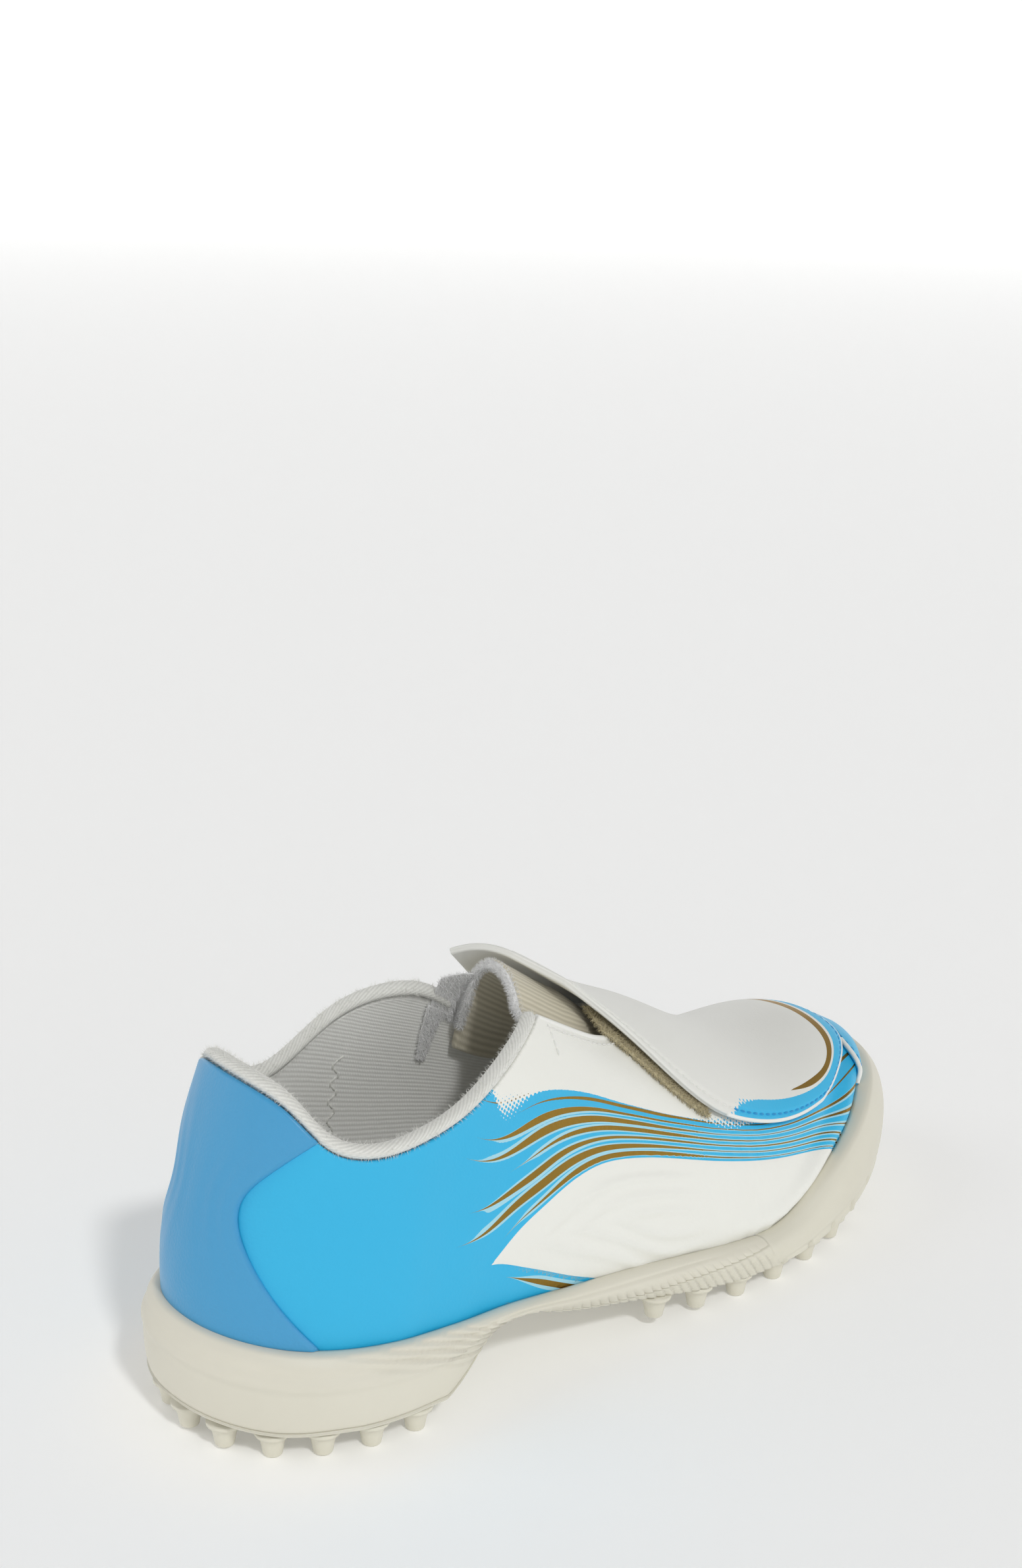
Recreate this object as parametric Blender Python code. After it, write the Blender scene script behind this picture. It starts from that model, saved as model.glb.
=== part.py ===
"""Junior turf football shoe for the right foot, with a cover flap over its throat.

Metres. +X runs from heel to toe, +Y to the inner (medial) side and +Z up. The origin is on the
floor, under the middle of the sole's outline. The shoe stands on its studs.
"""

import math

import bmesh
import bpy
import numpy as np

MM = 0.001

# Overall sizes of the shoe
SOLE_LENGTH = 200 * MM
BALL_WIDTH = 74 * MM
INSTEP_HEIGHT = 86 * MM  # top of the last over the instep, from the floor
COLLAR_HEIGHT = 76 * MM  # top of the upper at the back of the heel, from the floor

# Sole
STUD_HEIGHT = 4.6 * MM
STUD_TIP_RADIUS = 1.9 * MM
STUD_ROOT_RADIUS = 3.0 * MM
STUD_ROOT_SINK = 1.0 * MM  # how far a stud's root reaches into the outsole
STUD_MARGIN = 5.2 * MM  # from the sole's outline in to the outer row of studs
STUD_PITCH_HEEL = 9.6 * MM
STUD_PITCH_FOREFOOT = 11.6 * MM
STUD_AREAS = (
    (0.0, 0.235, STUD_PITCH_HEEL),  # from one station to another, and the studs' pitch there
    (0.515, 0.95, STUD_PITCH_FOREFOOT),
)
STUD_SIDES = 7
STUD_CROWDING = 0.8  # studs closer than this share of the pitch are left out
PLATE_THICKNESS = 2.3 * MM  # height of the outsole's own edge under the heel and the waist
FOOTBED_HEEL = 16.5 * MM  # top of the sole under the heel, from the floor
WALL_TOP_HEEL = 25.4 * MM  # top of the side wall at the back of the heel, from the floor
RIB_DEPTH = 0.9 * MM
RIB_PITCH = 4.4 * MM
RIB_SLANT = -0.55  # lean of a rib, length for each length of height: its top lies toward the heel
RIB_START, RIB_STOP = 0.30, 0.62  # stations between which the midsole's side is ribbed

# Upper
UPPER_MARGIN = 5.0 * MM  # from the sole's outline in to the upper's lower edge
UPPER_WALL = 2.0 * MM
THROAT_WIDTH = 28 * MM
COLLAR_BAND_HEIGHT = 2.8 * MM
COLLAR_BAND_WIDTH = 3.8 * MM
INSOLE_THICKNESS = 3.0 * MM
INSOLE_CLEAR = 0.8 * MM  # from the insole's edge to the upper's inner face
TONGUE_THICKNESS = 2.2 * MM
TONGUE_GAP = 0.5 * MM  # between the tongue and the upper over it
FLAP_THICKNESS = 1.9 * MM
FLAP_LIFT = 3.0 * MM  # how far the flap's free rear edge stands off the upper
PAD_THICKNESS = 1.0 * MM
COUNTER_THICKNESS = 0.9 * MM
TOE_CAP_THICKNESS = 0.9 * MM
GAP = 0.3 * MM  # between neighbouring pieces
SHEET_GAP = 0.4 * MM  # under an overlay, whose facets don't match the upper's

HEEL_SIDE_SHARE = 0.19  # length of the heel's round end, share of the sole's length
HEEL_POWER = 2.15
TOE_SHARES = {-1: 0.34, 1: 0.18}  # length of the toe's round end on each side
TOE_POWER = 2.15
OUTER, INNER = -1, 1  # the two sides of the shoe: outer is -Y and inner is +Y


def spline(stations, values):
    """A natural cubic curve through the points, as a function of the station."""
    xs = np.asarray(stations, float)
    ys = np.asarray(values, float)
    count = len(xs)
    steps = np.diff(xs)
    matrix = np.eye(count)
    right = np.zeros(count)
    for i in range(1, count - 1):
        matrix[i, i - 1 : i + 2] = steps[i - 1], 2 * (steps[i - 1] + steps[i]), steps[i]
        right[i] = 6 * ((ys[i + 1] - ys[i]) / steps[i] - (ys[i] - ys[i - 1]) / steps[i - 1])
    bends = np.linalg.solve(matrix, right)

    def value(x):
        x = min(max(x, xs[0]), xs[-1])
        i = min(max(int(np.searchsorted(xs, x)) - 1, 0), count - 2)
        step, left, ahead = steps[i], x - xs[i], xs[i + 1] - x
        return float(
            (bends[i] * ahead**3 + bends[i + 1] * left**3) / (6 * step)
            + (ys[i] / step - bends[i] * step / 6) * ahead
            + (ys[i + 1] / step - bends[i + 1] * step / 6) * left
        )

    return value


def table(names, rows):
    """One smooth curve for each named column after the first, along the first column."""
    stations = [row[0] for row in rows]
    return {
        name: spline(stations, [row[i] for row in rows])
        for i, name in enumerate(names.split())
        if i
    }


# Plan of the sole: half widths and the middle line's swing, shares of the ball width.
# A station is a share of the length, from the heel's back to the toe's tip.
PLAN = table(
    "station outer inner swing",
    [
        (0.00, 0.425, 0.425, 0.00),
        (0.16, 0.440, 0.430, 0.00),
        (0.32, 0.438, 0.380, 0.00),
        (0.44, 0.448, 0.340, 0.00),
        (0.56, 0.474, 0.392, 0.00),
        (0.68, 0.498, 0.480, 0.01),
        (0.80, 0.508, 0.482, 0.03),
        (0.90, 0.508, 0.467, 0.05),
        (1.00, 0.500, 0.450, 0.07),
    ],
)

# Side view of the sole. The underside's rise over the roots of the studs and the footbed's height
# are shares of the footbed's height under the heel. The outsole's edge is in plate thicknesses,
# the side wall's top edge is a share of its height at the heel, and the tuck, how far the wall's
# foot draws in at the waist, is a share of the ball width.
SIDE = table(
    "station rise edge bed top tuck",
    [
        (0.00, 0.10, 1.00, 1.00, 1.00, 0.00),
        (0.05, 0.01, 1.00, 1.00, 0.92, 0.00),
        (0.12, 0.00, 1.00, 1.00, 0.86, 0.00),
        (0.22, 0.00, 1.00, 0.99, 0.79, 0.00),
        (0.255, 0.22, 1.00, 0.98, 0.77, 0.04),
        (0.29, 0.46, 1.00, 0.96, 0.76, 0.09),
        (0.38, 0.36, 1.00, 0.92, 0.69, 0.08),
        (0.47, 0.21, 1.10, 0.83, 0.64, 0.04),
        (0.56, 0.08, 2.20, 0.74, 0.58, 0.01),
        (0.64, 0.00, 2.90, 0.68, 0.520, 0.00),
        (0.70, 0.00, 3.60, 0.67, 0.535, 0.00),
        (0.77, 0.01, 5.00, 0.70, 0.74, 0.00),
        (0.88, 0.14, 6.50, 0.83, 1.02, 0.00),
        (0.94, 0.32, 8.00, 0.98, 1.17, 0.00),
        (1.00, 0.62, 9.00, 1.18, 1.25, 0.00),
    ],
)
TOE_LEAN = 0.08  # how far the toe bumper leans back at its top, share of the ball width
MIDSOLE_END = 0.66  # station where the midsole wedge runs out

# Profile of the sole's side: height share from underside to top edge, and how far it lies
# inside the sole's outline, shares of the ball width.
SIDE_PROFILE = table(
    "height inset",
    [
        (0.00, 0.052),
        (0.08, 0.022),
        (0.20, 0.006),
        (0.40, 0.000),
        (0.65, 0.000),
        (0.82, 0.008),
        (0.93, 0.020),
        (1.00, 0.032),
    ],
)

# The last: height of its ridge over the floor (share of the instep's height), the ridge's
# swing to the inner side, the side wall's swell and the section's two handles.
LAST = table(
    "station ridge swing swell_outer swell_inner side crown",
    [
        (0.00, 1.14, 0.00, 0.025, 0.025, 0.60, 0.70),
        (0.16, 1.18, 0.00, 0.030, 0.025, 0.62, 0.62),
        (0.30, 1.05, 0.01, 0.020, 0.030, 0.60, 0.54),
        (0.40, 0.925, 0.02, 0.015, 0.045, 0.60, 0.52),
        (0.50, 0.780, 0.03, 0.015, 0.050, 0.60, 0.51),
        (0.60, 0.675, 0.035, 0.020, 0.040, 0.60, 0.48),
        (0.70, 0.556, 0.03, 0.030, 0.030, 0.62, 0.52),
        (0.80, 0.486, 0.02, 0.035, 0.030, 0.64, 0.56),
        (0.90, 0.470, 0.01, 0.030, 0.030, 0.64, 0.58),
        (1.00, 0.465, 0.00, 0.025, 0.025, 0.64, 0.58),
    ],
)
NOSE_SHARE = 0.13  # length of the toe box's drop to the toe's tip
NOSE_POWER = 2.4

# Lean of the heel's back: forward shift at each height share of the collar, share of the length.
HEEL_CURVE = table(
    "height shift",
    [(0.2, 0.005), (0.4, 0.000), (0.55, 0.007), (0.75, 0.027), (0.9, 0.047), (1.5, 0.14)],
)
HEEL_CURVE_SHARE = 0.36  # how far forward the lean fades out

# Collar: height of the upper's top edge on each side, shares of the collar's height.
CORNER_STATION = 0.405  # where the collar turns into the throat
CORNER_CLEAR = 0.005  # from the corner back to the band's end and on to the tongue's rear edge
THROAT_END = 0.60
COLLAR = table(
    "station outer inner",
    [
        (0.00, 0.950, 0.950),
        (0.03, 0.910, 0.915),
        (0.07, 0.825, 0.840),
        (0.11, 0.785, 0.790),
        (0.18, 0.780, 0.745),
        (0.25, 0.800, 0.885),
        (0.31, 0.845, 0.960),
        (0.36, 0.895, 0.968),
        (0.405, 0.94, 0.925),
    ],
)

# Cover flap. Its edges on either side are shares of the section, where 1 is the ridge, and its
# lift is a share of the free rear edge's lift.
FLAP_REAR = 0.425
FLAP_SKEW = 0.035  # how far the rear edge runs back on the inner side
FLAP_FRONT = 0.945
FLAP_FRONT_ROUND = 0.125  # how far the round front seam runs back at the flap's sides
FLAP = table(
    "along outer inner lift",
    [
        (0.00, 0.84, 0.72, 1.00),
        (0.15, 0.74, 0.62, 0.76),
        (0.30, 0.57, 0.52, 0.52),
        (0.45, 0.455, 0.46, 0.26),
        (0.60, 0.425, 0.43, 0.05),
        (0.80, 0.420, 0.42, 0.00),
        (1.00, 0.440, 0.44, 0.00),
    ],
)
PAD_SPAN = (0.14, 0.44)  # along the flap's outer edge
PAD_REACH = 0.10  # share of the section under the flap
TONGUE_TUCK = 0.10  # share of the section that lies under each quarter
TONGUE_SWELL = 0.5 * MM  # how far the tongue stands proud of the throat
TONGUE_FREE = 0.76  # share of the throat's width over which it swells
TONGUE_FADE = 0.08  # stations over which the swell runs out before the throat's end
TONGUE_AHEAD = 0.03  # how far the tongue runs on under the vamp, as a station

# Heel counter: how far each height of its front edge reaches forward, as a station.
COUNTER = table(
    "height reach",
    [(0.0, 0.076), (0.22, 0.036), (0.4, 0.015), (0.55, 0.014), (0.72, 0.030), (1.0, 0.062)],
)

# Toe cap: where its edges end on each side, as a station at the sole's wall and as a share of the
# way across the flap's front seam.
TOE_CAP_FOOT = {-1: 0.92, 1: 0.88}
TOE_CAP_TOP = {-1: 0.60, 1: 0.75}
TOE_CAP_CLEAR = 0.008  # from the flap's front seam, as a station


def clear_scene():
    for obj in list(bpy.data.objects):
        bpy.data.objects.remove(obj, do_unlink=True)


def round_end(share, power):
    """Half width of a rounded end, from 0 at its tip to 1 at its full width."""
    if share >= 1:
        return 1.0
    return (1 - (1 - max(share, 0.0)) ** power) ** (1 / power)


def ends(station, side):
    """How the plan closes at the heel's back and the toe's tip."""
    heel = round_end(station / HEEL_SIDE_SHARE, HEEL_POWER)
    toe = round_end((1 - station) / TOE_SHARES[side], TOE_POWER)
    return heel * toe


def plan_point(station, side, margin):
    """A point of the sole's outline moved in by the margin: its x, middle line and half width."""
    x = margin + station * (SOLE_LENGTH - 2 * margin)
    middle = PLAN["swing"](station) * BALL_WIDTH
    half = PLAN["outer" if side < 0 else "inner"](station) * BALL_WIDTH - margin
    return x, middle, half * ends(station, side)


def underside(station):
    """Height of the outsole's underside, where the studs are rooted."""
    return STUD_HEIGHT + max(0.0, SIDE["rise"](station)) * FOOTBED_HEEL


def footbed(station):
    return SIDE["bed"](station) * FOOTBED_HEEL


def wall_top(station):
    """Height of the sole wall's top edge."""
    return SIDE["top"](station) * WALL_TOP_HEEL


def spaced(start, stop, count, dense_start, dense_stop):
    """Stations from start to stop, closer together at a rounded end."""
    shares = np.linspace(0, 1, count + 1)
    if dense_start and dense_stop:
        shares = (1 - np.cos(shares * math.pi)) / 2
    elif dense_start:
        shares = 1 - np.cos(shares * math.pi / 2)
    elif dense_stop:
        shares = np.sin(shares * math.pi / 2)
    return [float(start + share * (stop - start)) for share in shares]


def heel_shift(station, z):
    """How far the lean of the heel's back moves a point of the last forward."""
    fade = max(0.0, 1 - station / HEEL_CURVE_SHARE) ** 2
    return HEEL_CURVE["shift"](z / COLLAR_HEIGHT) * SOLE_LENGTH * fade


def last_curve(station, side, share):
    """A point of the last: station along it, side, and share of the way from edge to ridge."""
    x, middle, half = plan_point(station, side, UPPER_MARGIN)
    low = footbed(station)
    nose = round_end((1 - station) / NOSE_SHARE, NOSE_POWER)
    high = low + (LAST["ridge"](station) * INSTEP_HEIGHT - low) * nose
    swell = LAST["swell_outer" if side < 0 else "swell_inner"](station) * BALL_WIDTH
    swell *= ends(station, side)
    closing = min(ends(station, OUTER), ends(station, INNER))
    ridge = middle + LAST["swing"](station) * BALL_WIDTH * closing
    corners = (
        (middle + side * half, low),
        (middle + side * (half + swell), low + LAST["side"](station) * (high - low)),
        (ridge + side * LAST["crown"](station) * half, high),
        (ridge, high),
    )
    left = 1 - share
    weights = (left**3, 3 * left**2 * share, 3 * left * share**2, share**3)
    y = sum(w * c[0] for w, c in zip(weights, corners))
    z = sum(w * c[1] for w, c in zip(weights, corners))
    return np.array((x + heel_shift(station, z), y, z))


def last_normal(station, side, share):
    """The last's outward direction there."""
    angle = math.acos(1 - 2 * min(max(station, 0.0004), 0.9996))
    step = 0.004
    share = min(max(share, step), 1 - step)

    def at(a, t):
        return last_curve((1 - math.cos(a)) / 2, side, t)

    along = at(angle + step, share) - at(angle - step, share)
    around = at(angle, share + step) - at(angle, share - step)
    normal = np.cross(around, along) * side
    return normal / np.linalg.norm(normal)


def on_last(station, side, share, offset):
    """A point of the last, moved out by the offset."""
    normal = last_normal(station, side, share)
    if station < 0.0005 or station > 0.9995 or share > 0.999:
        normal = normal + last_normal(station, -side, share)
        normal = normal / np.linalg.norm(normal)
    return last_curve(station, side, share) + offset * normal


def share_at(station, side, wanted, measure):
    """The share where a measure that grows along the section reaches the wanted value."""
    low, high = 0.0, 1.0
    for _ in range(40):
        middle = (low + high) / 2
        if measure(last_curve(station, side, middle)) < wanted:
            low = middle
        else:
            high = middle
    return low


def share_at_height(station, side, height):
    return share_at(station, side, height, lambda p: p[2])


def share_at_half_width(station, side, half):
    """The share where the section comes in to a half width from the ridge, near its top."""
    ridge = last_curve(station, side, 1.0)[1]
    return share_at(station, side, -half, lambda p: -abs(p[1] - ridge))


def throat_half(station):
    """Half width of the throat, which closes in a round end."""
    share = (THROAT_END - station) / (THROAT_END - CORNER_STATION)
    return THROAT_WIDTH / 2 * round_end(share * 1.6, 2.0)


def edge_share(station, side):
    """Share of the section where the upper ends, at the collar or the throat. 1 is whole."""
    if station >= THROAT_END:
        return 1.0
    if station >= CORNER_STATION:
        return share_at_half_width(station, side, throat_half(station))
    name = "outer" if side < 0 else "inner"
    corner = share_at_half_width(CORNER_STATION, side, throat_half(CORNER_STATION))
    corner_height = last_curve(CORNER_STATION, side, corner)[2] / COLLAR_HEIGHT
    blend = (station / CORNER_STATION) ** 4
    height = COLLAR[name](station) + (corner_height - COLLAR[name](CORNER_STATION)) * blend
    return share_at_height(station, side, height * COLLAR_HEIGHT)


def finish_mesh(name, bm, colour, roughness, weld=0.00002, shade=True):
    """Welds a bmesh, turns its faces out and makes it a named object with its own material."""
    bmesh.ops.remove_doubles(bm, verts=bm.verts, dist=weld)
    bmesh.ops.dissolve_degenerate(bm, edges=bm.edges, dist=weld / 4)
    bmesh.ops.recalc_face_normals(bm, faces=bm.faces)
    if bm.calc_volume(signed=True) < 0:
        bmesh.ops.reverse_faces(bm, faces=bm.faces)
    middle = plan_middle()
    bmesh.ops.translate(bm, verts=bm.verts, vec=(-SOLE_LENGTH / 2, -middle, 0))
    mesh = bpy.data.meshes.new(name)
    bm.to_mesh(mesh)
    bm.free()
    if shade:
        mesh.shade_smooth()
        mesh.set_sharp_from_angle(angle=math.radians(40))
    material = bpy.data.materials.new(name)
    material.use_nodes = True
    principled = material.node_tree.nodes["Principled BSDF"]
    principled.inputs["Base Color"].default_value = (*colour, 1)
    principled.inputs["Roughness"].default_value = roughness
    mesh.materials.append(material)
    obj = bpy.data.objects.new(name, mesh)
    bpy.data.collections["soccer_turf_shoe"].objects.link(obj)
    return obj


def plan_middle():
    """Y of the middle between the outline's two widest points."""
    stations = np.linspace(0.05, 0.95, 181)
    edge = {
        side: [p[1] + side * p[2] for p in (plan_point(s, side, 0) for s in stations)]
        for side in (OUTER, INNER)
    }
    return (min(edge[OUTER]) + max(edge[INNER])) / 2


def as_cutter(obj):
    obj.hide_render = True
    obj.display_type = "WIRE"
    for collection in list(obj.users_collection):
        collection.objects.unlink(obj)
    bpy.data.collections["cutters"].objects.link(obj)
    return obj


def boolean(obj, other, operation):
    modifier = obj.modifiers.new(operation.lower(), "BOOLEAN")
    modifier.operation = operation
    modifier.object = other
    modifier.solver = "EXACT"


def add_grid(bm, rows, closed=False):
    """Quads between the points of neighbouring rows. Returns the rows' vertices."""
    verts = [[bm.verts.new(tuple(point)) for point in row] for row in rows]
    for low, high in zip(verts, verts[1:]):
        count = len(low)
        for i in range(count if closed else count - 1):
            j = (i + 1) % count
            bm.faces.new((low[i], low[j], high[j], high[i]))
    return verts


def thick_sheet(bm, outer, inner):
    """A closed solid between two grids of points of the same size."""
    count = len(outer[0])
    top = add_grid(bm, outer)
    bottom = add_grid(bm, inner)
    for i in range(len(outer) - 1):
        for j in (0, count - 1):
            bm.faces.new((top[i][j], top[i + 1][j], bottom[i + 1][j], bottom[i][j]))
    for j in range(count - 1):
        for i in (0, len(outer) - 1):
            bm.faces.new((top[i][j], top[i][j + 1], bottom[i][j + 1], bottom[i][j]))


def sole_stations(stop):
    """Stations of the sole's sections, with two for each rib of the waist."""
    step = RIB_PITCH / 2 / SOLE_LENGTH
    ribs = [float(s) for s in np.arange(RIB_START, RIB_STOP, step)]
    front = spaced(RIB_STOP + step, 1.0, 16, False, True)
    stations = [*spaced(0.0, RIB_START - step, 12, True, False), *ribs, *front]
    if stop > MIDSOLE_END:
        stations = sorted([*stations, MIDSOLE_END, MIDSOLE_END + GAP / SOLE_LENGTH])
    return [s for s in stations if s < stop - step / 3] + [stop]


def rib_wave(station):
    """1 in a groove of the waist's ribs and 0 elsewhere: every other station lies in a groove."""
    step = round((station - RIB_START) * SOLE_LENGTH / (RIB_PITCH / 2))
    return 1.0 if step > 0 and station < RIB_STOP and step % 2 else 0.0


def rib_lean(station):
    """Slant of the ribs there, which fades out at both ends of the ribbed waist."""
    share = (station - RIB_START) / (RIB_STOP - RIB_START)
    return RIB_SLANT * math.sin(math.pi * min(max(share, 0.0), 1.0)) ** 0.5


def sole_side_point(station, side, height_share, ribbed=False):
    """A point of the sole's side wall, at a share of the wall's height there."""
    low, high = underside(station), wall_top(station)
    inset = SIDE_PROFILE["inset"](height_share) * BALL_WIDTH
    inset += max(0.0, SIDE["tuck"](station)) * BALL_WIDTH * (1 - height_share) ** 1.3
    lean = max(0.0, (station - 0.80) / 0.20) ** 1.5
    inset += lean * TOE_LEAN * BALL_WIDTH * max(0.0, height_share - 0.5) ** 2
    if ribbed:
        inset += RIB_DEPTH * rib_wave(station)
    x, middle, half = plan_point(station, side, inset)
    return np.array((x, middle + side * half, low + height_share * (high - low)))


def sole_block(bm, stations, shares, ribs=()):
    """A solid between the sole's two sides. shares gives each station's height shares."""
    count = len(shares(0.0))
    left, right = [], []
    for station in stations:
        heights = shares(station)
        for side, found in ((OUTER, left), (INNER, right)):
            row = [sole_side_point(station, side, h, k in ribs) for k, h in enumerate(heights)]
            for point in row if ribs else ():
                point[0] += rib_lean(station) * (point[2] - row[0][2])
            found.append(row)
    outer = add_grid(bm, left)
    inner = add_grid(bm, right)
    for i in range(len(stations) - 1):
        for k in (0, count - 1):
            bm.faces.new((outer[i][k], outer[i + 1][k], inner[i + 1][k], inner[i][k]))
    for k in range(count - 1):
        for i in (0, len(stations) - 1):
            bm.faces.new((outer[i][k], outer[i][k + 1], inner[i][k + 1], inner[i][k]))


def split_share(station):
    """Height share of the line between outsole and midsole."""
    low, high = underside(station), wall_top(station)
    if station > MIDSOLE_END:
        return 1.0
    return min(1.0, SIDE["edge"](station) * PLATE_THICKNESS / (high - low))


def last_cutter():
    """The last grown by the gap, which hollows the sole so that the upper fits into it."""
    bm = bmesh.new()
    stations = spaced(0.0, 1.0, 36, True, True)
    sides = []
    for side in (OUTER, INNER):
        rows = []
        for station in stations:
            row = [on_last(station, side, share, GAP) for share in np.linspace(0, 1, 13)]
            row[0][2] = footbed(station)
            rows.append(row)
        sides.append(add_grid(bm, rows))
    for i in range(len(stations) - 1):
        low, high = sides[0], sides[1]
        bm.faces.new((low[i][0], low[i + 1][0], high[i + 1][0], high[i][0]))
    return as_cutter(finish_mesh("last_cutter", bm, (0.5, 0.5, 0.5), 0.5, weld=0.00008))


def stud_places():
    """Centre of each stud: rows that follow the outline, under the heel and under the forefoot."""
    places = []
    for start, stop, pitch in STUD_AREAS:
        for ring in range(4):
            margin = STUD_MARGIN + ring * pitch
            for side in (OUTER, INNER):
                walk = None
                for station in np.linspace(0, 1, 600):
                    x, middle, half = plan_point(station, side, margin)
                    point = np.array((x, middle + side * half))
                    if not start * SOLE_LENGTH <= x <= stop * SOLE_LENGTH:
                        continue
                    if walk is not None and np.linalg.norm(point - walk) < pitch:
                        continue
                    walk = point
                    crowd = pitch * STUD_CROWDING
                    if all(np.linalg.norm(point - place) > crowd for place in places):
                        places.append(point)
    return places


def outsole(last):
    """Rubber outsole: plate, toe bumper and conical turf studs in one moulding."""
    bm = bmesh.new()
    stations = sole_stations(1.0)

    def shares(station):
        top = split_share(station)
        return [0.0, 0.10 * min(1, top * 2), *(top * f for f in (0.55, 0.8, 1.0))]

    sole_block(bm, stations, shares)
    obj = finish_mesh("outsole", bm, (0.80, 0.78, 0.68), 0.5)
    studs = bmesh.new()
    height = STUD_HEIGHT + STUD_ROOT_SINK
    for x, y in stud_places():
        drop = underside(x / SOLE_LENGTH) - STUD_HEIGHT
        made = bmesh.ops.create_cone(
            studs,
            cap_ends=True,
            segments=STUD_SIDES,
            radius1=STUD_TIP_RADIUS,
            radius2=STUD_ROOT_RADIUS,
            depth=height,
        )
        bmesh.ops.translate(studs, verts=made["verts"], vec=(x, y, drop + height / 2))
    stud_obj = as_cutter(finish_mesh("studs", studs, (0.80, 0.78, 0.68), 0.5, shade=False))
    boolean(obj, stud_obj, "UNION")
    boolean(obj, last, "DIFFERENCE")


def midsole(last):
    """Foam midsole wedge: thick under the heel, ribbed at the waist, run out at the ball."""
    bm = bmesh.new()

    def shares(station):
        low, high = underside(station), wall_top(station)
        start = split_share(station) + GAP / (high - low)
        return [start + (1 - start) * f for f in (0.0, 0.12, 0.3, 0.5, 0.66, 0.76, 0.84, 1.0)]

    sole_block(bm, sole_stations(MIDSOLE_END - GAP / SOLE_LENGTH), shares, ribs=(1, 2, 3))
    obj = finish_mesh("midsole", bm, (0.82, 0.80, 0.71), 0.55)
    boolean(obj, last, "DIFFERENCE")


def insole():
    """Flat sockliner inside the upper."""
    bm = bmesh.new()
    margin = UPPER_MARGIN + UPPER_WALL + INSOLE_CLEAR
    sides = []
    stations = spaced(0.0, 1.0, 30, True, True)
    for side in (OUTER, INNER):
        rows = []
        for station in stations:
            x, middle, half = plan_point(station, side, margin)
            y, low = middle + side * half, footbed(station) + GAP
            heights = (low, low + INSOLE_THICKNESS)
            rows.append([(x + heel_shift(station, z), y, z) for z in heights])
        sides.append(add_grid(bm, rows))
    for i in range(len(stations) - 1):
        for k in (0, 1):
            bm.faces.new((sides[0][i][k], sides[0][i + 1][k], sides[1][i + 1][k], sides[1][i][k]))
    finish_mesh("insole", bm, (0.62, 0.61, 0.57), 0.9)


def upper():
    """The hollow upper: open at the collar, down the throat and underneath."""
    bm = bmesh.new()
    stations = [
        *spaced(0.0, CORNER_STATION, 17, True, False)[:-1],
        *spaced(CORNER_STATION, THROAT_END, 7, False, True)[:-1],
        *spaced(THROAT_END, 1.0, 14, False, True),
    ]
    columns = 9
    for side in (OUTER, INNER):
        outer, inner = [], []
        for station in stations:
            edge = edge_share(station, side)
            shares = [edge * k / (columns - 1) for k in range(columns)]
            out = [on_last(station, side, share, 0.0) for share in shares]
            inn = [on_last(station, side, share, -UPPER_WALL) for share in shares]
            floor = footbed(station) + GAP
            out[0][2] = inn[0][2] = floor
            for point in (*out, *inn):
                point[2] = max(point[2], floor)
            outer.append(out)
            inner.append(inn)
        top, bottom = add_grid(bm, outer), add_grid(bm, inner)
        for i in range(len(stations) - 1):
            bm.faces.new((top[i][0], top[i + 1][0], bottom[i + 1][0], bottom[i][0]))
            if stations[i] < THROAT_END:
                bm.faces.new((top[i][-1], top[i + 1][-1], bottom[i + 1][-1], bottom[i][-1]))
    finish_mesh("upper", bm, (0.85, 0.85, 0.81), 0.45, weld=0.00006)


def collar_band():
    """Padded roll along the collar, from one corner of the throat round the heel to the other."""
    bm = bmesh.new()
    half = spaced(0.0, CORNER_STATION - CORNER_CLEAR, 17, True, False)
    route = [(s, OUTER) for s in reversed(half)] + [(s, INNER) for s in half[1:]]
    rings = []
    for station, side in route:
        edge = edge_share(station, side)
        out = last_normal(station, side, edge)
        if station == 0.0:
            out[1] = 0.0
            out /= np.linalg.norm(out)
        point = last_curve(station, side, edge)
        below = last_curve(station, side, edge - 0.02)
        up = point - below
        up -= out * np.dot(up, out)
        up /= np.linalg.norm(up)
        centre = point - out * UPPER_WALL / 2 + up * (GAP + COLLAR_BAND_HEIGHT / 2)
        ring = []
        for k in range(8):
            angle = math.pi * (k + 0.5) / 4
            flat = 1 / math.cos(math.pi / 8)
            ring.append(
                centre
                + out * COLLAR_BAND_WIDTH / 2 * math.cos(angle)
                + up * COLLAR_BAND_HEIGHT / 2 * math.sin(angle) * flat
            )
        rings.append(ring)
    verts = add_grid(bm, rings, closed=True)
    bm.faces.new(verts[0])
    bm.faces.new(verts[-1])
    finish_mesh("collar_band", bm, (0.80, 0.80, 0.77), 0.95)


def last_sheet(name, places, low, thickness, colour, roughness):
    """A closed sheet over the last: a grid of (station, side, share), its lower face's offset
    from the last at each place and its thickness."""
    bm = bmesh.new()
    inner, outer = [], []
    for i, row in enumerate(places):
        inner.append([on_last(*place, low(i, j)) for j, place in enumerate(row)])
        outer.append([on_last(*place, low(i, j) + thickness) for j, place in enumerate(row)])
    thick_sheet(bm, outer, inner)
    return finish_mesh(name, bm, colour, roughness)


def smooth(share):
    share = min(max(share, 0.0), 1.0)
    return share * share * (3 - 2 * share)


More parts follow.
